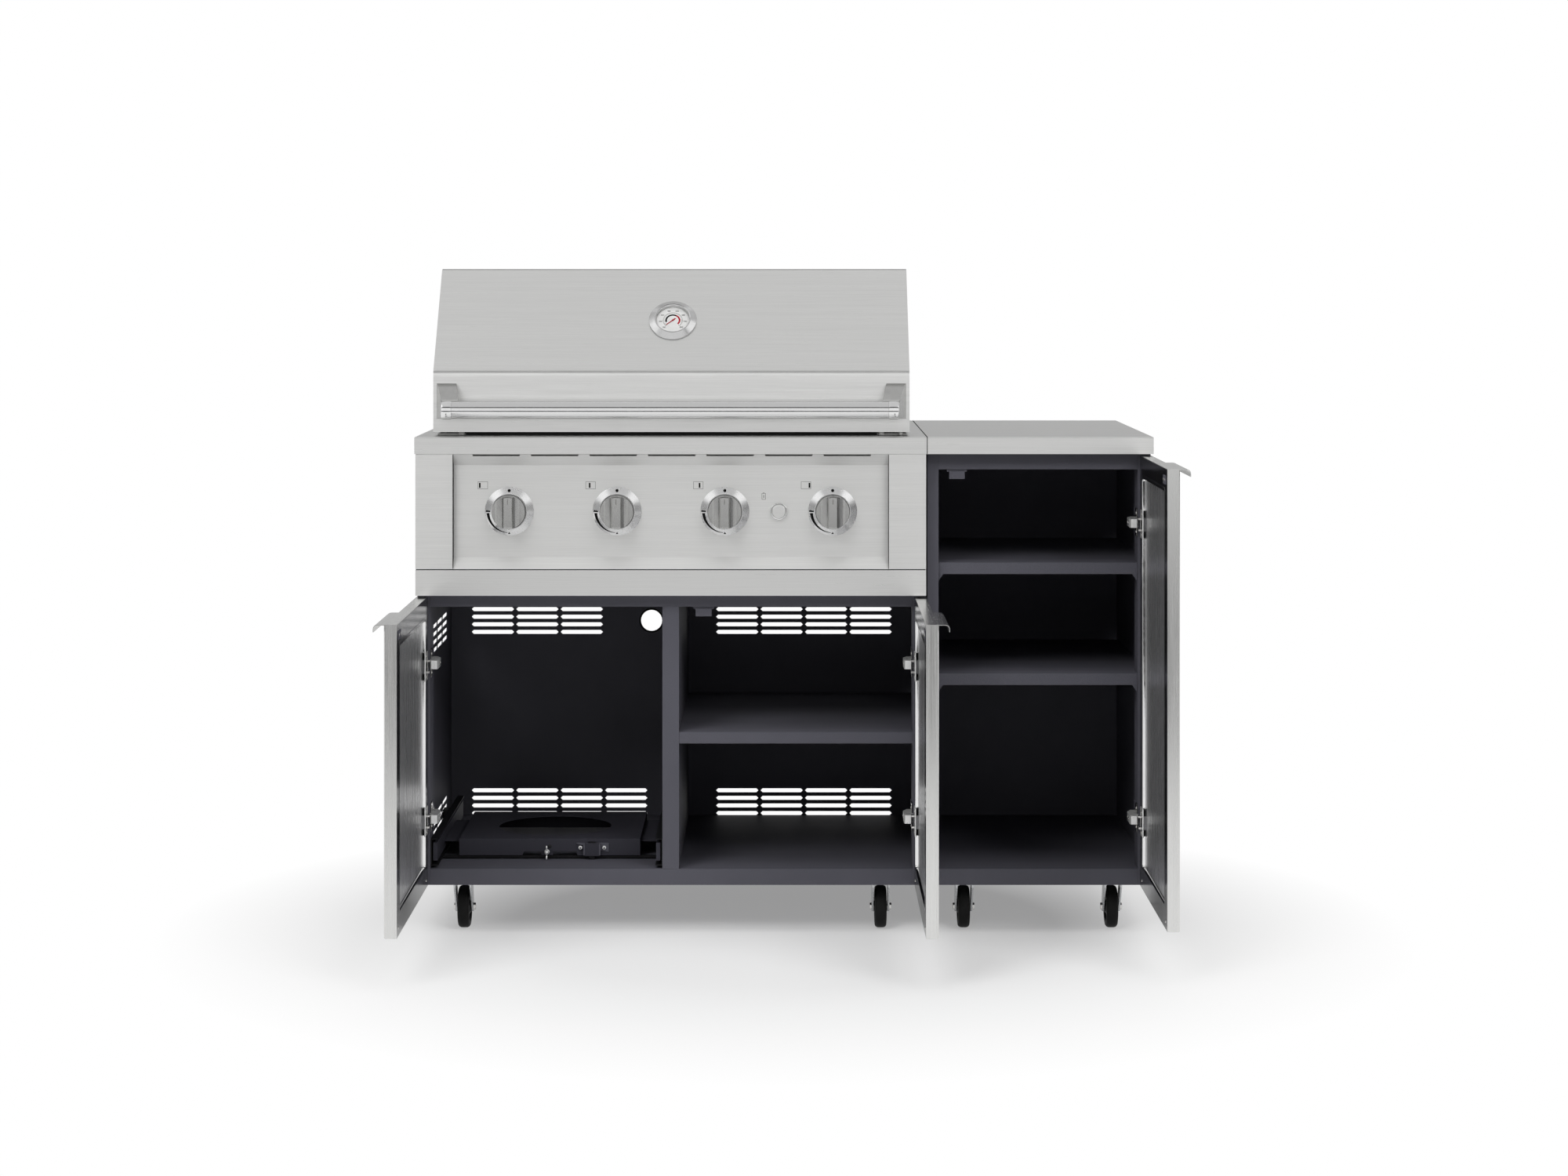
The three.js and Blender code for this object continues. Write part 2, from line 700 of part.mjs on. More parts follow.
function burners() {
  const centres = KNOB_XS.map((x) => x - GRILL_CENTRE);
  const rear = FIREBOX_BACK - FIREBOX_SHEET - CLEARANCE;
  const tubes = centres.flatMap((x) => [
    rod(BURNER_RADIUS, [x, 76, KNOB_Z], [x, BURNER_REAR, KNOB_Z], BURNER_SIDES),
    rod(5, [x, BURNER_REAR - 2, KNOB_Z], [x, rear, KNOB_Z], 6),
  ]);
  const crossover = rod(5, [centres[0], 290, KNOB_Z], [centres.at(-1), 290, KNOB_Z], 4);
  const mouths = centres.map((x) => rod(10, [x, 70, KNOB_Z], [x, 120, KNOB_Z], 8));
  return cut(join(tubes, crossover), mouths);
}

function gasManifold() {
  const centres = KNOB_XS.map((x) => x - GRILL_CENTRE);
  const [y, z] = [62, 738];
  const valves = centres.flatMap((x) => [
    rod(13, [x, 50, KNOB_Z], [x, 72, KNOB_Z], 6),
    rod(8, [x, y, z], [x, y, KNOB_Z], 6),
    rod(4.5, [x, 70, KNOB_Z], [x, 88, KNOB_Z], 6),
  ]);
  const brackets = [-1, 1].map((side) =>
    block(side * 180, side * 204, y, FIREBOX_FRONT - CLEARANCE, z - 1, z + 1),
  );
  return join(
    rod(10, [-360, y, z], [330, y, z], 8),
    rod(10, [-350, y, z], [-350, y, z - 50], 8),
    rod(13, [-350, y, z - 62], [-350, y, z - 46], 6),
    valves,
    brackets,
  );
}

// A cast grate: bars that run from front to rear between two end ties.
function cookingGrate(width) {
  const [front, back] = [FIREBOX_FRONT + 4, FIREBOX_BACK - 4];
  const [bottom, top] = [GRATE_Z, GRATE_Z + 12];
  const [bar, tie, gaps] = [9, 12, 17];
  const pitch = (width - bar) / gaps;
  const holes = Array.from({ length: gaps }, (_, i) => {
    const x = bar + i * pitch;
    return block(x, x + pitch - bar, front + tie, back - tie, bottom - 1, top + 1);
  });
  return cut(block(0, width, front, back, bottom, top), holes);
}

function warmingRack() {
  const [front, back, z, reach] = [395, 500, 1000, 420];
  const foot = WORKTOP_TOP + FIREBOX_SHEET + 2 * CLEARANCE;
  const rails = [front, back].map((y) => rod(3, [-reach, y, z], [reach, y, z], 6));
  const sides = [-1, 1].flatMap((side) => [
    rod(3, [side * reach, front, z], [side * reach, back, z], 6),
    rod(3, [side * reach, front, foot], [side * reach, front, z], 6),
    rod(3, [side * reach, back, foot], [side * reach, back, z], 6),
  ]);
  const wires = Array.from({ length: 9 }, (_, i) => {
    const x = -368 + i * 92;
    return rod(2, [x, front, z], [x, back, z], 4);
  });
  return join(rails, sides, wires);
}

function dripTray() {
  const [bottom, top, sheet, half] = [641.8, 668, 1.2, 303];
  const rear = BACK_FACE + SHEET + CLEARANCE;
  const pan = cut(
    block(-half, half, 128, rear + 0.5, bottom, top),
    block(-half + sheet, half - sheet, 128 + sheet, rear, bottom + sheet, top + 1),
  );
  const face = block(-half - 27, half + 27, rear, rear + SHEET, 632, 690);
  const grip = foldedStrip([[rear, 690], [rear + 18, 690], [rear + 18, 678]].reverse());
  return join(pan, face, prismX(grip, -90, 90));
}

// Hood: a folded skin from rear to front, with flat ends that carry the pivots
function hoodPath() {
  const { crownFront, crownBack, top, bend, rearEdge } = HOOD;
  const rise = [[HOOD_FRONT, HOOD_BOTTOM], [HOOD_FRONT, bend], [crownFront, top], [300, top]];
  const front = rounded(rise, 14, 3);
  const rear = rounded([[300, top], [crownBack, top], [crownBack, rearEdge]], 95, 6);
  return [...rear.reverse(), ...front.slice(0, -1).reverse()];
}

function hoodShell() {
  const path = hoodPath();
  const skin = foldedStrip([...path, [HOOD_FRONT + 12, HOOD_BOTTOM]], HOOD_SHEET);
  const heel = [[505, HOOD_BOTTOM], [548, 925]];
  const end = [...path, ...heel];
  const ends = [-1, 1].map((side) =>
    prismX(end, side * (HOOD_HALF_WIDTH - HOOD_SHEET), side * HOOD_HALF_WIDTH),
  );
  const { y, z } = HOOD_PIVOT;
  const pivots = [-1, 1].map((side) => rod(5.4, [side * 420, y, z], [side * 440, y, z], 12));
  const shell = join(prismX(skin, -HOOD_HALF_WIDTH, HOOD_HALF_WIDTH), ends);
  const probe = gaugeRod(4.5, -20, 20);
  return cut(shell, pivots, probe);
}

function gaugeRod(radius, from, to) {
  const normal = [-Math.sin(HOOD_SLOPE), Math.cos(HOOD_SLOPE)];
  const point = (reach) => [0, GAUGE_Y + normal[0] * reach, GAUGE_Z + normal[1] * reach];
  return rod(radius, point(from), point(to), 16);
}

function thermometer() {
  const profile = [
    [0, -60],
    [3, -60],
    [3, -9],
    [9, -9],
    [9, -HOOD_SHEET - CLEARANCE],
    [4, -HOOD_SHEET - CLEARANCE],
    [4, CLEARANCE],
    [44, CLEARANCE],
    [44, 2],
    [32, 9.5],
    [30, 6],
    [0, 6],
  ];
  return weld(turned(profile, 16));
}

function handleEnd(side) {
  const { y, z, radius } = HANDLE;
  const [outer, inner] = [side * 424, side * 386];
  const [capOuter, capInner] = [side * 409, side * 390];
  return [
    loft([
      ringY(outer, inner, z - 18, z + 46, HOOD_FRONT - CLEARANCE),
      ringY(outer, inner, z - 18, z + 44, HOOD_FRONT - 5),
      ringY(capOuter, capInner, z - 14, z + 14, y + 4),
      ringY(capOuter, capInner, z - 12, z + 12, y - 4),
    ]),
    rod(radius + 1, [capOuter, y, z], [capInner, y, z], 16),
  ];
}

function hoodHandle() {
  const { y, z, radius } = HANDLE;
  return join(rod(radius, [-391, y, z], [391, y, z], 16), [-1, 1].map(handleEnd));
}

// Doors, closed, about the hinge pivot: hand is 1 when the free edge lies along +X
function doorShell(width, height, hand) {
  const [edge, free] = [-PIVOT_FROM_EDGE * hand, (width - PIVOT_FROM_EDGE) * hand];
  const [inner, outer] = [PIVOT_FROM_INNER_FACE, PIVOT_FROM_INNER_FACE - DOOR_THICKNESS];
  const round = 1.5;
  const skin = loft([
    ringY(edge, free, 0, height, inner),
    ringY(edge, free, 0, height, outer + round),
    ringY(edge + round * hand, free - round * hand, round, height - round, outer),
  ]);
  const hollow = block(
    edge + SHEET * hand,
    free - SHEET * hand,
    outer + SHEET,
    inner + 1,
    SHEET,
    height - SHEET,
  );
  const curl = rounded([[outer + 1.4, height], [outer - 18.5, height], [outer - 18.5, height - 12.5]], 8);
  const lip = prismX(foldedStrip(curl, 1.2), free - 190 * hand, free);
  return join(cut(skin, hollow), lip);
}

// A formed inner sheet: flat frame, slanted step, recessed field, and a pocket for each hinge.
function doorLiner(width, height, hand, hinges) {
  const gap = SHEET + CLEARANCE;
  const back = PIVOT_FROM_INNER_FACE;
  const field = 35;
  const step = 5;
  const rect = (inset, y) =>
    ringY(
      (-PIVOT_FROM_EDGE + inset) * hand,
      (width - PIVOT_FROM_EDGE - inset) * hand,
      inset,
      height - inset,
      y,
    );
  const sheet = loft([
    rect(field + step, back - step),
    rect(field, back),
    rect(gap, back),
    rect(gap, back - SHEET),
    rect(field - 1, back - SHEET),
    rect(field + step - 1, back - step - SHEET),
  ]);
  const pockets = hinges.map((z) => block(7 * hand, 35.2 * hand, -7.7, back, z - 12.2, z + 12.2));
  const plates = hinges.map((z) => block(6 * hand, 41 * hand, back - 1, back + 1.3, z - 25, z + 25));
  const hollows = hinges.map((z) => block(8.2 * hand, 34 * hand, -6.5, back + 3, z - 11, z + 11));
  const linkEnd = 18;
  const links = hinges.flatMap((z) =>
    [-1, 1].map((side) => block(17 * hand, 30 * hand, -7, linkEnd, z + side * 8.7, z + side * 11.5)),
  );
  return join(cut(join(sheet, pockets, plates), hollows), links);
}

// Gas bottle tray
function slideChannel(outer, inward, wall) {
  const { bottom, top, width, front, back } = SLIDE;
  const fold = foldedStrip([[width, top], [0, top], [0, bottom], [width, bottom]]);
  const outline = fold.map(([u, z]) => [outer + inward * u, z]);
  const spacer = block(wall, outer + inward * 1, 440, 470, 136, 154);
  return wall === outer ? weld(prismY(outline, front, back)) : join(prismY(outline, front, back), spacer);
}

const LEFT_SLIDE_X = GRILL_LEFT + CABINET_INSET + STILE_WIDTH + CLEARANCE;
const RIGHT_SLIDE_X = DIVIDER_LEFT - CLEARANCE;

function trayWing(slideX, inward, trayEdge) {
  const runner = [slideX + inward * 4, slideX + inward * 11.5];
  return [
    block(...runner, SLIDE.front + 5, SLIDE.back - 5, SLIDE.bottom + 8, SLIDE.top - 8),
    block(runner[1] - inward, trayEdge + inward, TRAY.front + 40, TRAY.back - 40, 142, 144.5),
  ];
}

function latchHousing() {
  const path = [[-380, 129], [-366, 129], [-366, 121.5], [-340, 121.5], [-340, 129], [-324, 129]];
  return prismZ(foldedStrip(path), TRAY.bottom, 147);
}

function gasTray() {
  const { left, right, front, back, top, bottom } = TRAY;
  const pan = cut(
    block(left, right, front, back, bottom, top),
    block(left + SHEET, right - SHEET, front + SHEET, back - SHEET, bottom - 1, top - SHEET),
  );
  const notch = prismY(
    [[-482, bottom - 1], [-379.4, bottom - 1], [-383, bottom + 7.5], [-478, bottom + 7.5]],
    front - 1,
    front + 3,
  );
  const ring = circle(BOTTLE_HOLE.x, BOTTLE_HOLE.y, BOTTLE_HOLE.radius, 48);
  const bottleHole = prismZ(ring, top - 5, top + 5);
  const lug = block(-446, -425, front + 1, front + 4, bottom, bottom + 18);
  const { x, z } = WING_SCREW;
  const screwHole = rod(3.4, [x, front - 5, z], [x, front + 9, z], 8);
  return join(
    cut(join(cut(pan, notch, bottleHole), lug), screwHole),
    latchHousing(),
    trayWing(LEFT_SLIDE_X, 1, left),
    trayWing(RIGHT_SLIDE_X, -1, right),
  );
}

const WING_SCREW = { x: -435.6, z: 131, reach: 13 };

function wingScrew() {
  const { reach } = WING_SCREW;
  const upper = [[-18, 9], [-16, reach], [-9, reach - 1], [-7, 4]];
  const lower = upper.map(([y, z]) => [y, -z]).reverse();
  const wing = [...upper, ...lower];
  return join(
    prismX(wing, -1.1, 1.1),
    rod(4.8, [0, -18, 0], [0, -6, 0], 10),
    rod(3, [0, -7, 0], [0, 28, 0], 8),
  );
}

function trayLatch() {
  const bolt = [
    [-358, 117.6],
    [-348, 117.6],
    [-348, 124.5],
    [-342.5, 124.5],
    [-342.5, 144],
    [-347, 149],
    [-359, 149],
    [-363.5, 144],
    [-363.5, 124.5],
    [-358, 124.5],
  ];
  return prismY(bolt, 123.4, 128.6);
}

// Assembly. The origin lies on the ground, in the middle of the island with its doors open.
const DOOR_REACH = GRILL_DOOR_WIDTH - PIVOT_FROM_EDGE - PIVOT_Y;
const group = new THREE.Group();
group.position.y = (DOOR_REACH - WORKTOP_DEPTH) / 2;

function add(parent, name, geometry, material, place = [0, 0, 0]) {
  const mesh = new THREE.Mesh(geometry, material);
  mesh.name = name;
  mesh.position.set(...place);
  parent.add(mesh);
  return mesh;
}

function addGroup(parent, ...place) {
  const child = new THREE.Group();
  child.position.set(...place);
  parent.add(child);
  return child;
}

function addGrillCabinet() {
  const left = GRILL_LEFT + CABINET_INSET;
  const right = GRILL_RIGHT - CABINET_INSET;
  add(group, "grill_base_pan",
    basePan(GRILL_LEFT, GRILL_RIGHT, STILE_WIDTH, STILE_WIDTH, CASTER_XS.grill), SLATE);
  add(group, "grill_left_side", grillLeftSide(), SLATE);
  add(group, "grill_right_side", hingedSide(right, -1, STILE_WIDTH, GRILL_HINGES_Z), SLATE);
  add(group, "grill_back", weld(grillBack()), SLATE);
  add(group, "grill_divider", weld(divider()), SLATE);
  add(group, "grill_front_rail",
    frontRail(left + STILE_WIDTH, right - STILE_WIDTH, RAIL_BOTTOM, TRIM_TOP, -164, -127), SLATE);
  add(group, "grill_shelf", shelf({
    front: CABINET_FRONT + 1,
    back: 570,
    top: GRILL_SHELF_TOP,
    faces: [DIVIDER_LEFT + DIVIDER_WIDTH, right - STILE_WIDTH],
    walls: [DIVIDER_LEFT + DIVIDER_WIDTH, right - SHEET],
  }), SLATE);
  add(group, "grill_worktop", grillWorktop(), STAINLESS);
  add(group, "control_panel", controlPanel(), STAINLESS);
  add(group, "lower_trim", lowerTrim(), STAINLESS);
}

function addSideCabinet() {
  const left = SIDE_LEFT + CABINET_INSET;
  const right = SIDE_RIGHT - CABINET_INSET;
  const faces = [left + NARROW_STILE, right - STILE_WIDTH];
  add(group, "side_base_pan",
    basePan(SIDE_LEFT, SIDE_RIGHT, NARROW_STILE, STILE_WIDTH, CASTER_XS.side), SLATE);
  add(group, "side_left_side", weld(cabinetSide(left, 1, NARROW_STILE)), SLATE);
  add(group, "side_right_side", hingedSide(right, -1, STILE_WIDTH, SIDE_HINGES_Z), SLATE);
  add(group, "side_back", weld(cabinetBack(SIDE_LEFT, SIDE_RIGHT)), SLATE);
  add(group, "side_front_rail",
    frontRail(...faces, SIDE_RAIL_BOTTOM, PANEL_TOP, 295, 331), SLATE);
  for (const [name, top] of Object.entries(SIDE_SHELF_TOPS)) {
    add(group, name, shelf({
      front: CABINET_FRONT + 7,
      back: 570,
      top,
      faces,
      walls: [left + SHEET, right - SHEET],
      gussets: true,
    }), SLATE);
  }
  add(group, "side_worktop", worktop(SIDE_LEFT, SIDE_RIGHT), STAINLESS);
}

function addCooking() {
  const grill = addGroup(group, GRILL_CENTRE, 0, 0);
  const grateWidth = FIREBOX_HALF_WIDTH - FIREBOX_SHEET - 2;
  add(grill, "firebox", firebox(), STAINLESS);
  add(grill, "burners", burners(), STAINLESS);
  add(grill, "gas_manifold", gasManifold(), BRASS);
  add(grill, "cooking_grate_left", cookingGrate(grateWidth), IRON, [-grateWidth - 0.5, 0, 0]);
  add(grill, "cooking_grate_right", cookingGrate(grateWidth), IRON, [0.5, 0, 0]);
  add(grill, "warming_rack", warmingRack(), ZINC);
  add(grill, "drip_tray", dripTray(), STAINLESS);
}

function addControls() {
  KNOB_XS.forEach((x, i) => {
    const control = addGroup(group, x, 0, KNOB_Z);
    add(control, `valve_stem_${i + 1}`, valveStem(), BRASS);
    add(control, `knob_${i + 1}`, knob(), POLISHED);
  });
  add(group, "igniter_button", igniterButton(), POLISHED, [IGNITER_X, PANEL_FACE, KNOB_Z]);
}

function addHood() {
  const hood = addGroup(group, GRILL_CENTRE, 0, 0);
  add(hood, "hood_shell", hoodShell(), STAINLESS);
  add(hood, "hood_handle", hoodHandle(), POLISHED);
  const gauge = add(hood, "thermometer", thermometer(), POLISHED, [0, GAUGE_Y, GAUGE_Z]);
  gauge.rotation.x = HOOD_SLOPE;
}

function addDoor(name, side, hand, width, height, hinges) {
  const door = addGroup(group, side + hand * PIVOT_FROM_SIDE, PIVOT_Y, DOOR_BOTTOM);
  door.rotation.z = -hand * DOOR_OPEN;
  const fromBottom = hinges.map((z) => z - DOOR_BOTTOM);
  add(door, `${name}_shell`, doorShell(width, height, hand), STAINLESS);
  add(door, `${name}_liner`, doorLiner(width, height, hand, fromBottom), STAINLESS);
}

function addTray() {
  const leftWall = GRILL_LEFT + CABINET_INSET + SHEET + CLEARANCE;
  add(group, "gas_tray", gasTray(), SLATE);
  add(group, "tray_slide_left", slideChannel(LEFT_SLIDE_X, 1, leftWall), BLACK);
  add(group, "tray_slide_right", slideChannel(RIGHT_SLIDE_X, -1, RIGHT_SLIDE_X), BLACK);
  add(group, "tray_latch", weld(trayLatch()), BLACK);
  add(group, "tray_wing_screw", wingScrew(), ZINC, [WING_SCREW.x, TRAY.front, WING_SCREW.z]);
}

function addCasters() {
  [...CASTER_XS.grill, ...CASTER_XS.side].forEach((x, i) => {
    const swivel = addGroup(group, x, FRONT_SWIVEL_Y, 0);
    add(swivel, `caster_fork_${i + 1}`, swivelFork(), ZINC);
    add(swivel, `front_wheel_${i + 1}`, wheel(), BLACK, [0, CASTER_TRAIL, WHEEL_RADIUS]);
    add(group, `rear_wheel_${i + 1}`, wheel(), BLACK, [x, REAR_CASTER_Y, WHEEL_RADIUS]);
  });
}

addGrillCabinet();
addSideCabinet();
addCooking();
addControls();
addHood();
addDoor("left_door", GRILL_LEFT, 1, GRILL_DOOR_WIDTH, GRILL_DOOR_HEIGHT, GRILL_HINGES_Z);
addDoor("right_door", GRILL_RIGHT, -1, GRILL_DOOR_WIDTH, GRILL_DOOR_HEIGHT, GRILL_HINGES_Z);
addDoor("side_door", SIDE_RIGHT, -1, SIDE_DOOR_WIDTH, SIDE_DOOR_HEIGHT, SIDE_HINGES_Z);
addTray();
addCasters();

export default group;
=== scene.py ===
# Outdoor kitchen island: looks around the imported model.
# Shapes are given in millimetres of the drawing frame, whose Y is 0 at the worktops' front
# edge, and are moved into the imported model's frame when a piece is made.
import math

import bmesh
import bpy
from mathutils import Matrix, Vector


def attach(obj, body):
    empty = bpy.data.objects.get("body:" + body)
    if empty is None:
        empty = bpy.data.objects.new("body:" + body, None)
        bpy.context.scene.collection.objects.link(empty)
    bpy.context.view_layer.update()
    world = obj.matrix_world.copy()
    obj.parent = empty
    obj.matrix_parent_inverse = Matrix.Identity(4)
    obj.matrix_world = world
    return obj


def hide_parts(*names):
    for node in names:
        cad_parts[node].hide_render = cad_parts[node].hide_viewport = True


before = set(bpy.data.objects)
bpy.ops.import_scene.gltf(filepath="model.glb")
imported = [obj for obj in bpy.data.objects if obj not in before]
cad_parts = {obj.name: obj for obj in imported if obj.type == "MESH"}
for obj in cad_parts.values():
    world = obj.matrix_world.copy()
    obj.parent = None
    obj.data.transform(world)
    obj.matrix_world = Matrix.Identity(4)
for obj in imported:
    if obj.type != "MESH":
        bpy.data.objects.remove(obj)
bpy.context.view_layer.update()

# Driving dimensions, the same as the model's
DEPTH_SHIFT = -101.2
GRILL_CENTRE = -203.775
KNOB_Z = 765
KNOB_XS = [GRILL_CENTRE + (i - 1.5) * 194.3 for i in range(4)]
IGNITER_X = -9.3
PANEL_FACE = 16
HOOD_HALF_WIDTH = 431
HOOD_SHEET = 2.5
HOOD_BOTTOM = 907
HOOD_FRONT = 35
HOOD_BEND = 1016
HOOD_TOP = 1202
CROWN_FRONT = 184.8
CROWN_BACK = 560
HOOD_REAR_EDGE = 965
HOOD_SLOPE = math.atan2(HOOD_TOP - HOOD_BEND, CROWN_FRONT - HOOD_FRONT)
GAUGE_Y = 108.2
GAUGE_Z = HOOD_BEND + (GAUGE_Y - HOOD_FRONT) * math.tan(HOOD_SLOPE)
HANDLE_Y, HANDLE_Z, HANDLE_RADIUS = -24, 949, 15.5
PIVOT = {"y": 530, "z": 945}
CASTER_XS = [-583, 176, 327.5, 597]
SWIVEL_Y, TRAIL, REAR_Y = 65, 25, 545
WHEEL_RADIUS = 38
DOORS = {
    "left_door": {"hand": 1, "x": -654.5, "width": 458.6, "height": 522, "hinges": [209.5, 488]},
    "right_door": {"hand": -1, "x": 246.95, "width": 458.6, "height": 522, "hinges": [209.5, 488]},
    "side_door": {"hand": -1, "x": 654.5, "width": 405, "height": 777, "hinges": [208, 743]},
}
DOOR_PIVOT_Y = 18.5
DOOR_BOTTOM = 88
LIPS = {"left_door": -640.2, "right_door": 232.65, "side_door": 640.2}
PIVOT_INSET = 9.5  # from a door's hinge edge to its pivot
LINER_FACE = 10.9  # the liner's inner side, in the closed door's own frame
CUP_HOLE = 11.2  # half heights: of the hole in a cup's plate,
CUP_PLATE = 25.4  # of the plate,
CUP_GAP = 24.6  # and of the gap behind it in the field's rim
CASTER_PLATE_Z = 112.2
WORKTOP_TOP = 900

# The photograph's view: metres, and the lens in millimetres
CAMERA_DISTANCE, CAMERA_HEIGHT, CAMERA_LENS, CAMERA_SHIFT = 5.7612, 1.195, 72.25, -0.201


# Materials
GRAIN_ALONG = 9.0


class Look:
    """The nodes of a material or a world, with short ways to add those used here."""

    def __init__(self, owner):
        owner.use_nodes = True
        self.owner = owner
        self.nodes = owner.node_tree.nodes
        self.links = owner.node_tree.links

    def fill(self, node, inputs):
        """Sets a node's inputs, and links those whose value is another node's output."""
        for key, value in inputs.items():
            if isinstance(value, bpy.types.NodeSocket):
                self.links.new(value, node.inputs[key])
            else:
                node.inputs[key].default_value = value
        return node

    def surface(self, inputs):
        self.fill(self.nodes["Principled BSDF"], inputs)

    def node(self, kind, inputs, **settings):
        node = self.nodes.new("ShaderNode" + kind)
        for key, value in settings.items():
            setattr(node, key, value)
        return self.fill(node, inputs)

    def math(self, operation, *values):
        return self.node("Math", dict(enumerate(values)), operation=operation).outputs[0]

    def coordinate(self, kind):
        return self.node("TexCoord", {}).outputs[kind]

    def noise(self, scale, detail=2.0, roughness=0.5):
        """Noise in the object's own coordinates; the scale is one number, or a list for X, Y and Z."""
        scale = scale if isinstance(scale, list) else [scale] * 3
        mapping = self.node("Mapping", {"Vector": self.coordinate("Object"), "Scale": scale})
        inputs = {"Vector": mapping.outputs["Vector"], "Scale": 1.0, "Detail": detail, "Roughness": roughness}
        return self.node("TexNoise", inputs).outputs["Fac"]

    def tone(self, value, color, low, high, start=0.3, end=0.7):
        """The colour times low to high, as the value goes from start to end."""
        node = self.node("ValToRGB", {"Fac": value})
        for element, position, factor in zip(node.color_ramp.elements, (start, end), (low, high)):
            element.position = position
            element.color = (*(min(1.0, c * factor) for c in color), 1.0)
        return node.outputs["Color"]

    def spread(self, value, low, high, start=0.3, end=0.7):
        """A number from low to high, as the value goes from start to end."""
        inputs = {"Value": value, "From Min": start, "From Max": end, "To Min": low, "To Max": high}
        return self.node("MapRange", inputs).outputs["Result"]

    def bump(self, height, strength, distance, flat=False):
        """Bump from a height; flat sheet keeps each face's own direction right up to its folds."""
        inputs = {"Strength": strength, "Distance": distance, "Height": height}
        if flat:
            inputs["Normal"] = self.node("NewGeometry", {}).outputs["True Normal"]
        self.surface({"Normal": self.node("Bump", inputs).outputs["Normal"]})

    def seen_ray(self):
        """1 for rays that show the background: from the camera, or off gloss, or through glass."""
        path = self.node("LightPath", {}).outputs
        seen = self.math("MAXIMUM", path["Is Camera Ray"], path["Is Glossy Ray"])
        return self.math("MAXIMUM", seen, path["Is Transmission Ray"])


def new_look(name):
    return Look(bpy.data.materials.new(name))


def brushed(
    name, color, grain_axis=0, roughness=0.32, contrast=0.05, depth=0.000012, fine=1150.0, metallic=1.0,
    flat=False,
):
    """Brushed sheet: the grain runs along one axis, and along the next one on faces square to it."""
    look = new_look(name)
    other = 1 if grain_axis != 1 else 2
    scales = [[GRAIN_ALONG if i == axis else fine for i in range(3)] for axis in (grain_axis, other)]
    lines, cross_lines = [look.noise(scale, 3.0, 0.65) for scale in scales]
    streaks = look.noise([c * 0.12 for c in scales[0]])
    normal = look.node("SeparateXYZ", {"Vector": look.coordinate("Normal")})
    square = look.spread(look.math("ABSOLUTE", normal.outputs[grain_axis]), 0.0, 1.0, 0.75, 0.85)
    grain = look.node("Mix", {"Factor": square, "A": lines, "B": cross_lines}, data_type="FLOAT")
    value = look.math("MULTIPLY_ADD", grain.outputs["Result"], 0.7, look.math("MULTIPLY", streaks, 0.3))
    look.surface({
        "Base Color": look.tone(value, color, 1 - contrast, 1 + contrast),
        "Roughness": look.spread(value, roughness + 0.06, roughness - 0.06),
        "Metallic": metallic,
    })
    look.bump(value, 0.5, depth, flat)
    return look.owner


def smooth_metal(name, color, roughness=0.12, wear=0.04, metallic=1.0):
    """Plated or polished metal with a slightly cloudy finish."""
    look = new_look(name)
    cloud = look.noise(60, 4.0, 0.6)
    look.surface({
        "Base Color": look.tone(cloud, color, 0.94, 1.04),
        "Roughness": look.spread(cloud, roughness - wear, roughness + wear),
        "Metallic": metallic,
    })
    return look.owner


def painted(name, color, roughness=0.55):
    """Powder coat with a fine orange-peel texture and faint tone changes."""
    look = new_look(name)
    speckle, broad = look.noise(900), look.noise(7, 3.0)
    mixed = look.math("MULTIPLY_ADD", broad, 0.16, look.spread(speckle, 0.25, 0.6, 0.0, 1.0))
    look.surface({
        "Base Color": look.tone(mixed, color, 0.78, 1.22, 0.35, 0.65),
        "Roughness": look.spread(speckle, roughness - 0.06, roughness + 0.08),
        "Specular IOR Level": 0.12,
    })
    look.bump(speckle, 0.6, 0.00003)
    return look.owner


def cast_metal(name, color):
    look = new_look(name)
    pits = look.noise(420, 4.0, 0.6)
    look.surface({
        "Base Color": look.tone(pits, color, 0.6, 1.5), "Roughness": look.spread(pits, 0.45, 0.75),
    })
    look.bump(pits, 0.9, 0.0003)
    return look.owner


def moulded(name, color, roughness=0.5, specular=0.5):
    """Rubber or moulded plastic with a fine matt texture."""
    look = new_look(name)
    fine, broad = look.noise(1500), look.noise(25, 3.0)
    look.surface({
        "Base Color": look.tone(broad, color, 0.8, 1.25),
        "Roughness": look.spread(fine, roughness - 0.08, roughness + 0.08),
        "Specular IOR Level": specular,
    })
    look.bump(fine, 0.3, 0.00002)
    return look.owner


def printed(name, color, roughness=0.4):
    look = new_look(name)
    look.surface({
        "Base Color": look.tone(look.noise(2500, 1.0), color, 0.92, 1.06),
        "Roughness": roughness, "Specular IOR Level": 0.05,
    })
    return look.owner


def clear_glass(name):
    look = new_look(name)
    look.surface({
        "Base Color": (0.02, 0.02, 0.02, 1), "Alpha": 0.08,
        "Roughness": look.spread(look.noise(40), 0.02, 0.08),
    })
    return look.owner


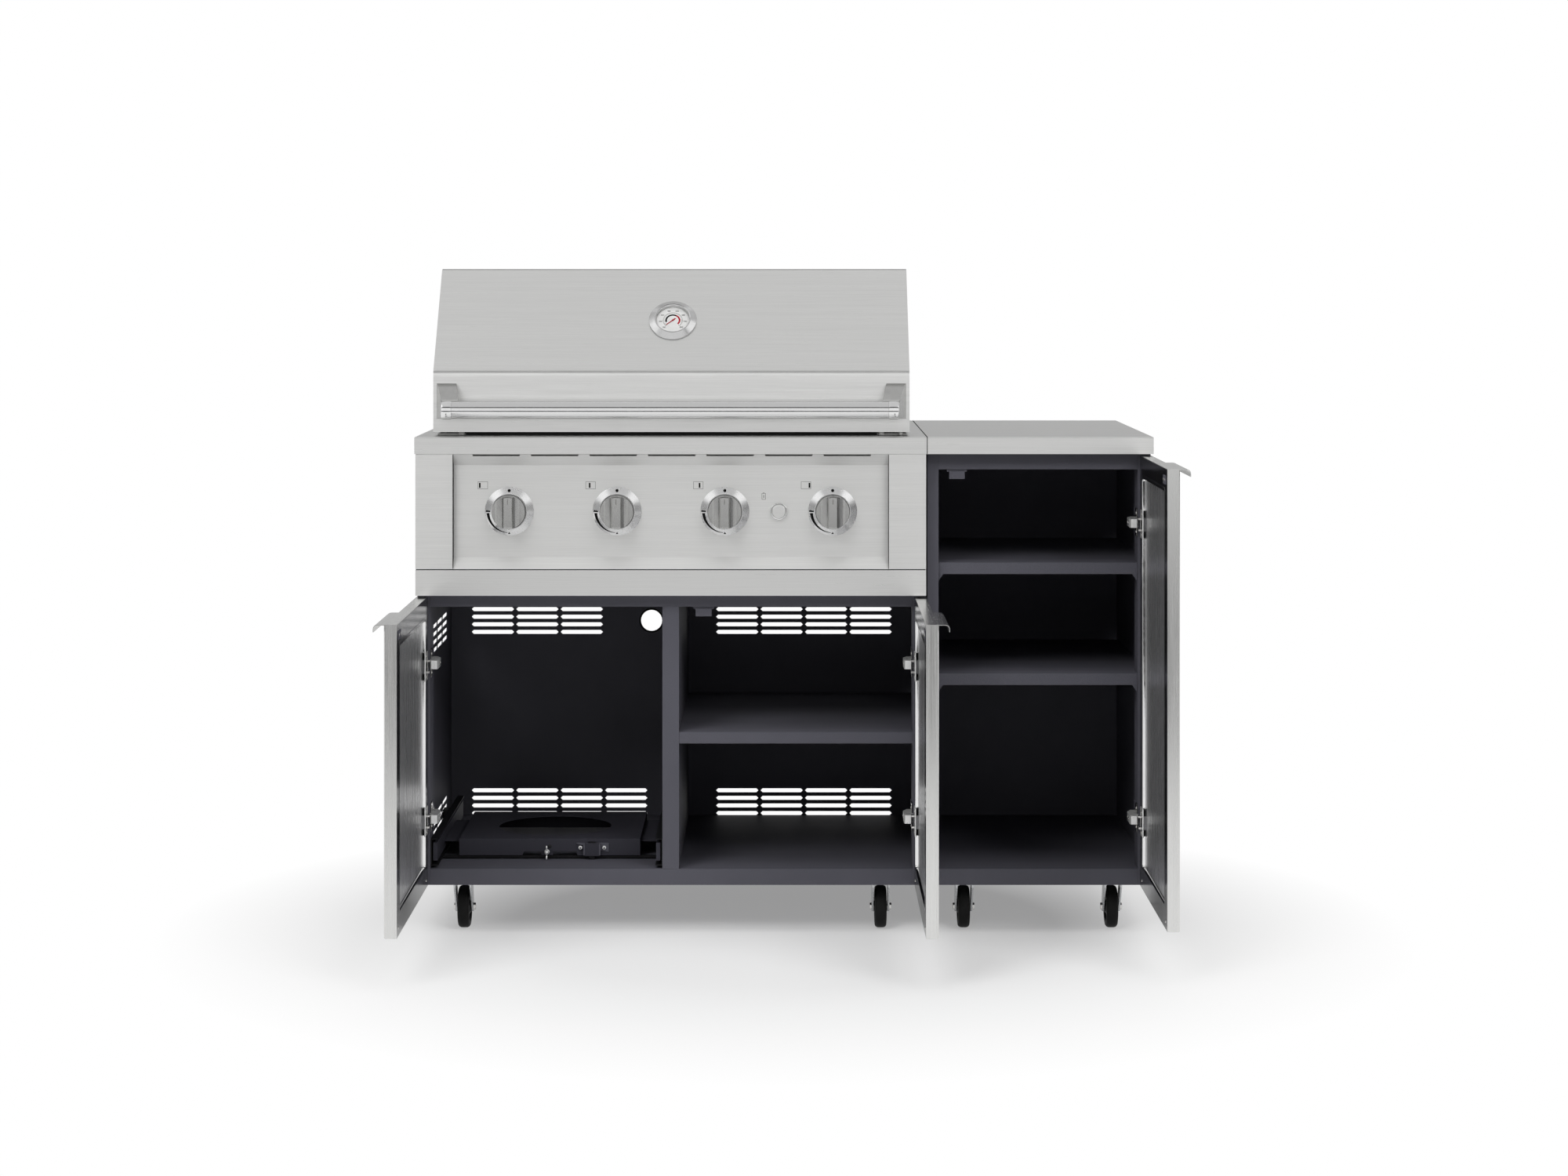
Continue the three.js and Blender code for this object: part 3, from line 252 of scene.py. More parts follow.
STEEL_TONE = (0.79, 0.79, 0.78)
STEEL = brushed("brushed_steel", STEEL_TONE, flat=True)
PANEL_STEEL = brushed(
    "panel_steel", (0.69, 0.69, 0.68), roughness=0.4, contrast=0.06, metallic=0.5, flat=True,
)
HOOD_STEEL = brushed("hood_steel", STEEL_TONE)
DOOR_STEEL = brushed("door_steel", (0.69, 0.69, 0.68), grain_axis=2, roughness=0.24, contrast=0.03)
LINER_STEEL = brushed("liner_steel", (0.18, 0.18, 0.185), 2, 0.19, 0.03, 0.000004, metallic=0.95, flat=True)
FIELD_STEEL = brushed("field_steel", (0.7, 0.7, 0.71), 2, 0.28, 0.05, 0.000008, 700.0, metallic=0.78)
HANDLE_STEEL = brushed("handle_steel", (0.72, 0.72, 0.72), roughness=0.15, contrast=0.02, depth=0.0000004)
BEZEL_STEEL = smooth_metal("bezel_steel", (0.74, 0.74, 0.74), 0.27, 0.03)
GAUGE_STEEL = smooth_metal("gauge_steel", (0.6, 0.6, 0.6), 0.2, 0.03)
BOX_STEEL = brushed("box_steel", (0.42, 0.42, 0.41), roughness=0.38)
TUBE_STEEL = brushed("tube_steel", (0.5, 0.48, 0.45), grain_axis=1, roughness=0.35)
SATIN = smooth_metal("satin_chrome", (0.5, 0.5, 0.49), 0.18)
POLISHED = smooth_metal("polished_chrome", (0.78, 0.78, 0.78), 0.09)
NICKEL = smooth_metal("nickel_plate", (0.72, 0.71, 0.69), 0.18)
HINGE_NICKEL = smooth_metal("hinge_nickel", (0.86, 0.86, 0.85), 0.3, 0.04, 0.55)
ZINC = smooth_metal("zinc_plate", (0.55, 0.56, 0.57), 0.28, 0.06)
BRASS = smooth_metal("brass", (0.58, 0.42, 0.18), 0.25)
PAINT = painted("cabinet_paint", (0.103, 0.102, 0.122))
TRAY_PAINT = painted("tray_paint", (0.046, 0.045, 0.057))
BLACK_PAINT = painted("black_paint", (0.012, 0.012, 0.013), 0.45)
IRON = cast_metal("cast_iron", (0.03, 0.03, 0.032))
RUBBER = moulded("rubber", (0.01, 0.01, 0.01), 0.55, 0.12)
PLASTIC = moulded("black_plastic", (0.014, 0.014, 0.015), 0.38, 0.25)
PAD_RUBBER = moulded("pad_rubber", (0.5, 0.5, 0.49))
INK = printed("black_ink", (0.006, 0.006, 0.006))
PALE_INK = printed("grey_ink", (0.2, 0.2, 0.19))
RED_INK = printed("red_ink", (0.5, 0.01, 0.03))
DIAL_WHITE = printed("dial_white", (0.93, 0.93, 0.92), 0.3)
GLASS = clear_glass("dial_glass")

CAD_FINISHES = {
    "grill_worktop": STEEL, "side_worktop": STEEL, "control_panel": PANEL_STEEL, "lower_trim": STEEL,
    "hood_shell": HOOD_STEEL, "hood_handle": HANDLE_STEEL, "thermometer": POLISHED,
    "firebox": BOX_STEEL, "drip_tray": BOX_STEEL, "burners": TUBE_STEEL, "gas_manifold": BRASS,
    "cooking_grate_left": IRON, "cooking_grate_right": IRON, "warming_rack": ZINC,
    "gas_tray": TRAY_PAINT, "tray_slide_left": BLACK_PAINT, "tray_slide_right": BLACK_PAINT,
    "tray_latch": BLACK_PAINT, "tray_wing_screw": ZINC, "igniter_button": SATIN,
}
PREFIX_FINISHES = {
    "valve_stem": BRASS, "knob": SATIN, "caster_fork": ZINC, "front_wheel": RUBBER, "rear_wheel": RUBBER,
    "left_door_shell": DOOR_STEEL, "right_door_shell": DOOR_STEEL, "side_door_shell": DOOR_STEEL,
    "left_door_liner": LINER_STEEL, "right_door_liner": LINER_STEEL, "side_door_liner": LINER_STEEL,
}


def finish_of(name):
    if name in CAD_FINISHES:
        return CAD_FINISHES[name]
    return next((m for prefix, m in PREFIX_FINISHES.items() if name.startswith(prefix)), PAINT)


def dress_cad():
    for name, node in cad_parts.items():
        node.data.materials.clear()
        node.data.materials.append(finish_of(name))


# Shapes: each is (vertices, faces) in millimetres
def merge(*shapes):
    vertices, faces = [], []
    for points, polygons in shapes:
        base = len(vertices)
        vertices += [Vector(p) for p in points]
        faces += [[base + i for i in polygon] for polygon in polygons]
    return vertices, faces


def moved(shape, matrix):
    return [matrix @ Vector(p) for p in shape[0]], shape[1]


def shifted(shape, x=0, y=0, z=0):
    return moved(shape, Matrix.Translation((x, y, z)))


def box_outline(u0, u1, v0, v1):
    return [(u0, v0), (u1, v0), (u1, v1), (u0, v1)]


def loft(rings):
    """Closed rings of points, joined one to the next, with a cap at each end."""
    count = len(rings[0])
    last = count * (len(rings) - 1)
    faces = [list(range(count))[::-1], list(range(last, last + count))]
    for base in range(0, last, count):
        for i in range(count):
            j = (i + 1) % count
            faces.append([base + i, base + j, base + count + j, base + count + i])
    return [p for ring in rings for p in ring], faces


def prism(outline, z0, z1):
    return loft([[(u, v, z) for u, v in outline] for z in (z0, z1)])


def cuboid(x0, x1, y0, y1, z0, z1):
    x0, x1 = sorted((x0, x1))
    y0, y1 = sorted((y0, y1))
    return prism(box_outline(x0, x1, y0, y1), z0, z1)


def prism_x(outline, x0, x1):
    """An outline in Y and Z, drawn out along X."""
    turn = Matrix(((0, 0, 1, 0), (1, 0, 0, 0), (0, 1, 0, 0), (0, 0, 0, 1)))
    return moved(prism(outline, x0, x1), turn)


def prism_y(outline, y0, y1):
    """An outline in X and Z, drawn out along Y."""
    turn = Matrix(((1, 0, 0, 0), (0, 0, 1, 0), (0, 1, 0, 0), (0, 0, 0, 1)))
    return moved(prism(outline, y0, y1), turn)


def lathe(profile, segments=64):
    """A closed profile of radius and height, revolved about Z."""
    vertices, rows = [], []
    for radius, height in profile:
        if radius < 1e-6:
            rows.append([len(vertices)] * segments)
            vertices.append((0, 0, height))
        else:
            rows.append(list(range(len(vertices), len(vertices) + segments)))
            for i in range(segments):
                angle = 2 * math.pi * i / segments
                vertices.append((radius * math.cos(angle), radius * math.sin(angle), height))
    faces = []
    closed = profile[0][0] > 1e-6
    pairs = list(zip(rows, rows[1:])) + ([(rows[-1], rows[0])] if closed else [])
    for low, high in pairs:
        for i in range(segments):
            j = (i + 1) % segments
            face = list(dict.fromkeys([low[i], low[j], high[j], high[i]]))
            if len(face) > 2:
                faces.append(face)
    return vertices, faces


def axis_turn(direction):
    """The turn that lays Z along a direction."""
    return Vector((0, 0, 1)).rotation_difference(Vector(direction)).to_matrix().to_4x4()


def rod(radius, start, end, sides=32):
    start, end = Vector(start), Vector(end)
    length = (end - start).length
    shape = lathe([(0, 0), (radius, 0), (radius, length), (0, length)], sides)
    return moved(shape, Matrix.Translation(start) @ axis_turn(end - start))


def turned_at(profile, origin, direction, segments=64):
    return moved(lathe(profile, segments), Matrix.Translation(origin) @ axis_turn(direction))


def bent(path, radius, steps=8):
    """Rounds the corners of an open path in a plane."""
    points = [Vector(path[0])]
    for before, corner, after in zip(path, path[1:], path[2:]):
        corner = Vector(corner)
        back = (Vector(before) - corner).normalized()
        ahead = (Vector(after) - corner).normalized()
        reach = radius / math.tan(back.angle(ahead) / 2)
        start, end = corner + back * reach, corner + ahead * reach
        for i in range(steps + 1):
            t = i / steps
            points.append(start * (1 - t) ** 2 + corner * 2 * t * (1 - t) + end * t * t)
    return points + [Vector(path[-1])]


def sheet_outline(path, thickness):
    """The outline of a strip folded along a path, with its thickness on the left of the path."""
    normals = []
    for a, b in zip(path, path[1:]):
        along = (b - a).normalized()
        normals.append(Vector((-along.y, along.x)))
    inner = []
    for i, point in enumerate(path):
        before = normals[max(i - 1, 0)]
        after = normals[min(i, len(normals) - 1)]
        mitre = before + after
        inner.append(point + mitre * (thickness / mitre.dot(before)))
    return [tuple(p) for p in path] + [tuple(p) for p in reversed(inner)]


def make_mesh(name, shape):
    mesh = bpy.data.meshes.new(name)
    points = [(v[0] / 1000, (v[1] + DEPTH_SHIFT) / 1000, v[2] / 1000) for v in map(Vector, shape[0])]
    mesh.from_pydata(points, [], shape[1])
    bm = bmesh.new()
    bm.from_mesh(mesh)
    bmesh.ops.remove_doubles(bm, verts=bm.verts, dist=1e-6)
    bmesh.ops.recalc_face_normals(bm, faces=bm.faces)
    bm.to_mesh(mesh)
    bm.free()
    return mesh


def new_object(name, data):
    obj = bpy.data.objects.new(name, data)
    bpy.context.scene.collection.objects.link(obj)
    return obj


def piece(name, shape, material, body, sharp=35, bevel=0.0):
    return settle(new_object(name, make_mesh(name, shape)), material, body, sharp, bevel)


def settle(obj, material, body, sharp=35, bevel=0.0):
    mesh = obj.data
    mesh.materials.clear()
    mesh.materials.append(material)
    mesh.polygons.foreach_set("use_smooth", [True] * len(mesh.polygons))
    mesh.set_sharp_from_angle(angle=math.radians(sharp))
    if bevel:
        modifier = obj.modifiers.new("edge", "BEVEL")
        modifier.width = bevel / 1000
        modifier.segments = 2
        modifier.limit_method = "ANGLE"
        modifier.angle_limit = math.radians(35)
        modifier.harden_normals = False
    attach(obj, body)
    return obj


def carved(name, shape, cutters):
    """A shape with other shapes taken out of it, as one mesh."""
    base = new_object(name, make_mesh(name, shape))
    for i, cutter in enumerate(cutters):
        tool = new_object(f"{name}_tool{i}", make_mesh(f"{name}_tool{i}", cutter))
        modifier = base.modifiers.new("cut", "BOOLEAN")
        modifier.operation = "DIFFERENCE"
        modifier.solver = "EXACT"
        modifier.object = tool
        graph = bpy.context.evaluated_depsgraph_get()
        result = bpy.data.meshes.new_from_object(base.evaluated_get(graph))
        base.modifiers.clear()
        base.data = result
        bpy.data.objects.remove(tool)
    return base


# Fasteners
def screw_head(origin, direction, radius=3.6, height=1.8):
    """A pan head standing on a surface, with a raised black cross that stands in for the shade in its cross
    recess: painted shade.
    """
    profile = [
        (0, 0), (radius, 0), (radius, height * 0.4), (radius * 0.85, height * 0.85), (radius * 0.5, height),
        (0, height),
    ]
    head = lathe(profile, 20)
    arm, width = radius * 0.5, radius * 0.14
    recess_shade = merge(
        cuboid(-arm, arm, -width, width, height - 0.2, height + 0.12),
        cuboid(-width, width, -arm, arm, height - 0.2, height + 0.12),
    )
    place = Matrix.Translation(origin) @ axis_turn(direction)
    return moved(head, place), moved(recess_shade, place)


def screws(name, places, body, material, radius=3.6, height=1.8):
    heads, recess_shades = [], []
    for origin, direction in places:
        head, recess_shade = screw_head(origin, direction, radius, height)
        heads.append(head)
        recess_shades.append(recess_shade)
    piece(name, merge(*heads), material, body)
    # The black crosses are painted shade in the screws' recesses.
    piece(name + "_recess_shade", merge(*recess_shades), INK, body)


def hex_nut(origin, direction, radius, height):
    profile = [(0, 0), (radius, 0), (radius, height * 0.8), (radius * 0.88, height), (0, height)]
    return moved(lathe(profile, 6), Matrix.Translation(origin) @ axis_turn(direction))


# Printed marks: thin raised shapes on a plane
FRONT = Matrix(((1, 0, 0, 0), (0, 0, -1, 0), (0, 1, 0, 0), (0, 0, 0, 1)))


def plane_marks(name, outlines, origin, material, body):
    """Outlines in X and Z, standing just proud of a plane that faces the front."""
    place = Matrix.Translation(origin) @ FRONT
    shapes = [moved(prism(outline, -0.02, 0.12), place) for outline in outlines]
    return piece(name, merge(*shapes), material, body)


def arc_outline(radius_in, radius_out, start, end, steps=32):
    """A band between two angles in degrees."""
    angles = [math.radians(start + (end - start) * (i / steps)) for i in range(steps + 1)]
    outer, inner = ([(r * math.cos(a), r * math.sin(a)) for a in angles] for r in (radius_out, radius_in))
    return outer + inner[::-1]


def frame_outlines(u0, u1, v0, v1, line):
    return [
        box_outline(u0, u1, v0, v0 + line),
        box_outline(u0, u1, v1 - line, v1),
        box_outline(u0, u0 + line, v0 + line, v1 - line),
        box_outline(u1 - line, u1, v0 + line, v1 - line),
    ]


# Controls
KNOB_FACE = 24
BEZEL_INNER, BEZEL_OUTER, BEZEL_HEIGHT, BEZEL_EDGE = 32.5, 43.9, 8.8, 1.1


def at_knob(shape, x, y=PANEL_FACE):
    """A shape about its own Z axis, turned to face the front at a knob's height."""
    return moved(shape, Matrix.Translation((x, y, KNOB_Z)) @ FRONT)


def knob_shape(index, x):
    """A turned cap with a finger scoop on each side of its grip, and a bore for the valve stem."""
    profile = [
        (0, -6), (28.9, -6), (29.6, -5.2), (29.7, 16.5), (29.5, 19.5), (29.0, 22.0), (28.0, 23.6),
        (27.0, KNOB_FACE), (0, KNOB_FACE),
    ]
    scoop, reach, depth, half = 26, 29.2, -38, 45
    tools = [
        rod(scoop, (u, depth, KNOB_Z - half), (u, depth, KNOB_Z + half), 160) for u in (x - reach, x + reach)
    ]
    bore = rod(4.4, (x, 7, KNOB_Z), (x, -12, KNOB_Z), 32)
    knob = carved(f"knob_{index}_cap", at_knob(lathe(profile, 128), x, 0), [*tools, bore])
    settle(knob, SATIN, f"knob_{index}", sharp=16, bevel=0.35)
    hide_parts(f"knob_{index}")
    line = box_outline(-0.7, 0.7, 15, 24)
    pointer = plane_marks(f"knob_{index}_pointer", [line], (x, -KNOB_FACE, KNOB_Z), PALE_INK, f"knob_{index}")


def bezel(index, x):
    """A ring with a shallow cone for its face, around the knob."""
    profile = [
        (32.8, 0), (BEZEL_OUTER, 0), (BEZEL_OUTER + 0.1, BEZEL_EDGE), (BEZEL_INNER, BEZEL_HEIGHT),
        (31.3, BEZEL_HEIGHT), (30.2, 5.2),
    ]
    ring = at_knob(lathe(profile, 128), x)
    piece(f"knob_bezel_{index}", ring, BEZEL_STEEL, "cabinet", sharp=12)


def bezel_marks(index, x):
    """Off dot, flame and triangle, and the arc that narrows from high to low."""

    def on_cone(radius, angle, lift):
        share = (BEZEL_OUTER - radius) / (BEZEL_OUTER - BEZEL_INNER)
        depth = BEZEL_EDGE + (BEZEL_HEIGHT - BEZEL_EDGE) * share + lift
        return Vector((radius * math.cos(angle), radius * math.sin(angle), depth))

    def skin(outline):
        """An outline in radius and degrees, laid on the cone as a thin plate."""
        return loft([[on_cone(r, math.radians(a), lift) for r, a in outline] for lift in (-0.05, 0.14)])

    def strip(start, end, width0, width1, radius, steps=36):
        shapes = []
        for i in range(steps):
            a0, a1 = (start + (end - start) * (i + k) / steps for k in (0, 1))
            w0, w1 = (width0 + (width1 - width0) * (i + k) / steps for k in (0, 1))
            shapes.append(skin([(radius - w0, a0), (radius + w0, a0), (radius + w1, a1), (radius - w1, a1)]))
        return shapes

    turns = [i * math.pi / 8 for i in range(16)]
    dot = skin([(37.6 + 2.8 * math.sin(t), 90 + 4.3 * math.cos(t)) for t in turns])
    triangle = skin([(40.8, 266.8), (40.8, 273.2), (37.0, 270)])
    flame = skin([
        (34.0, 180), (34.6, 176.4), (36.2, 178.6), (37.4, 175.6), (38.9, 178.4), (40.2, 175.8), (42.4, 178.6),
        (42.4, 181.4), (34.0, 181.6),
    ])
    marks = merge(dot, triangle, flame, *strip(184.5, 265, 2.7, 0.35, 38.4))
    piece(f"bezel_marks_{index}", at_knob(marks, x), INK, "cabinet")


def burner_icon(index, x):
    """A small plan of the grill with the burner that the knob controls."""
    left, width, height = -57, 18, 13.6
    outline = frame_outlines(left, left + width, 40, 40 + height, 0.7)
    origin = (x, PANEL_FACE, KNOB_Z)
    plane_marks(f"burner_icon_{index}", outline, origin, PALE_INK, "cabinet")
    start = left + 2.0 + (index - 1) * 3.9
    bar = box_outline(start, start + 3.0, 42.2, 51.2)
    plane_marks(f"burner_bar_{index}", [bar], origin, INK, "cabinet")


def battery_icon():
    terminal, charge = box_outline(-1.2, 1.2, 5.5, 6.7), box_outline(-0.7, 0.7, -3, 2.4)
    shapes = [*frame_outlines(-3.6, 3.6, -6, 5.5, 0.8), terminal, charge]
    plane_marks("battery_icon", shapes, (-36.6, PANEL_FACE, 792), PALE_INK, "cabinet")


def igniter():
    ring = [(13.1, 0), (15.6, 0), (15.6, 2.4), (15.0, 3.4), (14.2, 3.9), (13.1, 3.8)]
    ring_shape = at_knob(lathe(ring, 96), IGNITER_X)
    piece("igniter_ring", ring_shape, POLISHED, "cabinet", bevel=0.2)
    cap = [
        (0, -26), (10.9, -26), (10.9, 4.4), (12.6, 4.4), (12.7, 7.2), (12.3, 8.3), (11.5, 8.9), (10.6, 9.0),
        (0, 9.0),
    ]
    button = piece("igniter_cap", at_knob(lathe(cap, 96), IGNITER_X), STEEL, "igniter")
    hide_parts("igniter_button")


def seams():
    """Black strips in the panel's joints and under the hood's front edge, standing in for the shade in those
    gaps: painted shade.
    """
    left, right, joint = -596.2, 188.65, 257.6
    low, high = 662.5, 867.5
    shapes = [
        cuboid(-662, 254.5, 0.6, 12, 660.1, 661.8),
        cuboid(left - 0.1, left + 0.7, 0.8, 15.8, low, high),
        cuboid(right - 0.7, right + 0.1, 0.8, 15.8, low, high),
        cuboid(joint - 0.7, joint + 0.7, -0.2, 3, 869.4, WORKTOP_TOP - 0.1),
        cuboid(joint - 0.5, joint + 0.5, -0.2, 632.5, WORKTOP_TOP - 0.8, WORKTOP_TOP + 0.15),
    ]
    piece("panel_shade_strips", merge(*shapes), RUBBER, "cabinet")
    # A black strip in the gap under the hood's front edge: painted shade.
    shade_strip = cuboid(GRILL_CENTRE - 372, GRILL_CENTRE + 372, 38.5, 41, WORKTOP_TOP + 1.2, HOOD_BOTTOM - 0.2)
    piece("hood_shade_strip", shade_strip, RUBBER, "hood")


def controls():
    for index, x in enumerate(KNOB_XS, 1):
        knob_shape(index, x)
        bezel(index, x)
        bezel_marks(index, x)
        burner_icon(index, x)
    battery_icon()
    igniter()
    seams()


# Thermometer, about its own axis
DIAL_HEIGHT = 1.3
DIAL_START, DIAL_SWEEP = 225, 270
NUMBER_RADIUS = 22.6
GAUGE_PLACE = Matrix.Translation((GRILL_CENTRE, GAUGE_Y, GAUGE_Z)) @ Matrix.Rotation(HOOD_SLOPE, 4, "X")


def gauge_piece(name, shape, material, sharp=35):
    return piece(name, moved(shape, GAUGE_PLACE), material, "hood", sharp)


def dial_numbers():
    """The scale's numbers, as text turned into a mesh."""
    shapes = []
    for i, value in enumerate(range(100, 801, 100)):
        angle = math.radians(DIAL_START - i * DIAL_SWEEP / 7)
        curve = bpy.data.curves.new("number", "FONT")
        curve.body = str(value)
        curve.size = 4.2
        curve.align_x = "CENTER"
        curve.align_y = "CENTER"
        curve.extrude = 0.08
        holder = new_object("number", curve)
        bpy.context.view_layer.update()
        mesh = holder.to_mesh()
        x, y = NUMBER_RADIUS * math.cos(angle), NUMBER_RADIUS * math.sin(angle)
        text = [v.co.copy() for v in mesh.vertices], [list(p.vertices) for p in mesh.polygons]
        shapes.append(shifted(text, x, y, DIAL_HEIGHT + 0.4))
        holder.to_mesh_clear()
        bpy.data.objects.remove(holder)
    return merge(*shapes)


def thermometer():
    case = [
        (0, -60), (2.6, -60), (3, -59), (3, -9), (9, -9), (9, -2.8), (4, -2.8), (4, 0.3), (43.4, 0.3),
        (44, 0.9), (44, 2.2), (43.2, 3.2), (33.4, 9.2), (32.4, 9.5), (31.4, 9.1), (30.8, 8.2),
        (30.4, DIAL_HEIGHT), (0, DIAL_HEIGHT),
    ]
    body = gauge_piece("thermometer_case", lathe(case, 128), GAUGE_STEEL, 12)
    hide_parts("thermometer")
    disc = [(0, 0.02), (30.2, 0.02), (30.2, 0.25), (0, 0.25)]
    gauge_piece("thermometer_dial", shifted(lathe(disc, 96), z=DIAL_HEIGHT), DIAL_WHITE)
    plane = Matrix.Translation((0, 0, DIAL_HEIGHT + 0.3))

    def dial_marks(*outlines):
        return merge(*(moved(prism(outline, -0.05, 0.1), plane) for outline in outlines))

    ticks, ends = [], 17.6
    for i in range(36):
        angle = DIAL_START - i * DIAL_SWEEP / 35
        ticks.append(arc_outline(15.6 if i % 5 else 14.6, ends, angle - 0.7, angle + 0.7, 1))
    ring = arc_outline(ends, 18.0, DIAL_START - DIAL_SWEEP, DIAL_START, 72)
    gauge_piece("dial_scale", dial_marks(ring, *ticks), PALE_INK)
    gauge_piece("dial_numbers", dial_numbers(), INK)
    gauge_piece("dial_band_cool", dial_marks(arc_outline(10.8, 13.8, 198, 62, 40)), INK)
    gauge_piece("dial_band_hot", dial_marks(arc_outline(10.8, 13.8, 62, -42, 40)), RED_INK)
    needle = prism([(-6, -1.3), (-6.5, 0), (-6, 1.3), (0, 1.1), (16, 0.4), (16, -0.4), (0, -1.1)], 0.5, 0.9)
    hub = lathe([(0, 0.1), (1.6, 0.1), (1.6, 1.3), (1.2, 1.6), (0, 1.6)], 24)
    aim = plane @ Matrix.Rotation(math.radians(221), 4, "Z")
    gauge_piece("dial_needle", moved(merge(needle, hub), aim), RED_INK)
    dome = [(0, 8.6), (12, 8.4), (22, 8.1), (30.5, 7.6), (30.5, 7.9), (22, 8.5), (12, 8.9), (0, 9.1)]
    gauge_piece("dial_glass", lathe(dome, 96), GLASS)


# Hood
def hood_path():
    """The hood's outline in Y and Z, from its rear edge over the crown to its front edge."""
    crown = (300, HOOD_TOP)
    rear = bent([crown, (CROWN_BACK, HOOD_TOP), (CROWN_BACK, HOOD_REAR_EDGE)], 95, 24)
    front = [(HOOD_FRONT, HOOD_BOTTOM), (HOOD_FRONT, HOOD_BEND), (CROWN_FRONT, HOOD_TOP), crown]
    return rear[::-1] + bent(front, 22, 10)[:-1][::-1]


def hood_shell():
    path = hood_path()
    skin = sheet_outline([*path, Vector((HOOD_FRONT + 12, HOOD_BOTTOM))], HOOD_SHEET)
    inset = 0.15
    end = [tuple(p) for p in sheet_outline(path, inset)[len(path):][::-1]]
    end += [(505, HOOD_BOTTOM + inset), (548, 925)]
    left, right = GRILL_CENTRE - HOOD_HALF_WIDTH, GRILL_CENTRE + HOOD_HALF_WIDTH
    skin_piece = piece("hood_skin", prism_x(skin, left, right), HOOD_STEEL, "hood", sharp=20)
    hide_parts("hood_shell")
    for name, outer, inward in (("hood_end_left", left, 1), ("hood_end_right", right, -1)):
        x0, x1 = sorted((outer + inward * inset, outer + inward * HOOD_SHEET))
        bore = rod(5.4, (x0 - 4, PIVOT["y"], PIVOT["z"]), (x1 + 4, PIVOT["y"], PIVOT["z"]))
        settle(carved(name, prism_x(end, x0, x1), [bore]), HOOD_STEEL, "hood")
    low, high = WORKTOP_TOP + 1.4, HOOD_BOTTOM - 0.1
    pads = [
        rod(radius, (GRILL_CENTRE + x, y, low), (GRILL_CENTRE + x, y, high), sides)
        for radius, x, y, sides in ((5.6, -380, 42, 32), (5.6, 380, 42, 32), (3.2, 415, 40, 24))
    ]
    piece("hood_pads", merge(*pads), PAD_RUBBER, "hood", bevel=0.6)


def handle_bracket(side):
    """A foot on the hood that draws in towards the end cap of the tube."""
    outer, inner = 425, 389
    cap_outer, cap_inner = 409.6, 379
    rings, steps = [], 10
    for i in range(steps + 1):
        t = i / steps
        ease = t * t * (3 - 2 * t)
        y = (HOOD_FRONT - 0.3) * (1 - t) + (HANDLE_Y + 3) * t
        x0 = outer + (cap_outer - outer) * t
        x1 = inner + (cap_inner - inner) * t
        z0 = HANDLE_Z - 18 + 4 * t
        z1 = HANDLE_Z + 46 + (14 - 46) * (0.35 * t + 0.65 * ease)
        xs = sorted((GRILL_CENTRE + side * x0, GRILL_CENTRE + side * x1))
        rings.append([(x, y, z) for x, z in box_outline(*xs, z0, z1)])
    cap = [(0, -10), (13.6, -10), (15.8, -8.6), (16.5, -6.5), (16.5, 6.5), (15.8, 8.6), (13.6, 10), (0, 10)]
    barrel = turned_at(cap, (GRILL_CENTRE + side * 400, HANDLE_Y, HANDLE_Z), (1, 0, 0), 96)
    return loft(rings), barrel


def hood_handle():
    ends = [(GRILL_CENTRE + side * 391, HANDLE_Y, HANDLE_Z) for side in (-1, 1)]
    tube = rod(HANDLE_RADIUS, *ends, 96)
    bar = piece("handle_tube", tube, HANDLE_STEEL, "hood")
    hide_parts("hood_handle")
    for side, name in ((-1, "left"), (1, "right")):
        foot, barrel = handle_bracket(side)
        piece(f"handle_foot_{name}", foot, SATIN, "hood", bevel=0.8)
        piece(f"handle_cap_{name}", barrel, POLISHED, "hood")


# Hinges
def hinge_sets():
    """The cabinet's side of the hinges: arms on winged plates, with their screws."""
    arm = [
        (-0.9, 80.3), (-0.9, 26), (1.4, 17.7), (3.4, 13.2), (14.0, 13.2), (16.3, 16.5), (16.3, 62),
        (9.2, 80.3),
    ]
    wing = [(36, -25), (58, -25), (66, -11), (84.3, -11), (84.3, 11), (66, 11), (58, 25), (36, 25)]
    arm_half, wing_top, arm_top = 7.8, 1.8, 16.2
    for name, door in DOORS.items():
        lip, inward = LIPS[name], door["hand"]
        arms, plates, places = [], [], []
        for z in door["hinges"]:
            arms.append(prism([(lip + inward * u, y) for u, y in arm], z - arm_half, z + arm_half))
            outline = [(y, z + dz) for y, dz in wing]
            plates.append(prism_x(outline, *sorted((lip - inward * 0.3, lip + inward * wing_top))))
            places += [((lip + inward * wing_top, 46, z + dz), (inward, 0, 0)) for dz in (-17, 17)]
            places += [((lip + inward * arm_top, y, z), (inward, 0, 0)) for y in (34, 55)]
        piece(f"{name}_hinge_arms", merge(*arms), HINGE_NICKEL, "cabinet", bevel=0.6)
        piece(f"{name}_hinge_plates", merge(*plates), NICKEL, "cabinet", bevel=0.3)
        screws(f"{name}_hinge_screws", places, "cabinet", NICKEL, 3.2, 1.2)
        door_side_of_hinge(name, door)


def door_place(door):
    """From a door's own closed frame, about its pivot, to its place when open."""
    origin = Matrix.Translation((door["x"], DOOR_PIVOT_Y, DOOR_BOTTOM))
    return origin @ Matrix.Rotation(-door["hand"] * math.pi / 2, 4, "Z")


def door_screws(name, part, spots, place, radius, height):
    """Screws given in the closed door's frame, with their heads towards the cabinet."""
    ahead = place.to_3x3() @ Vector((0, 1, 0))
    places = [(place @ Vector(spot), ahead) for spot in spots]
    screws(f"{name}_{part}_screws", places, name, NICKEL, radius, height)


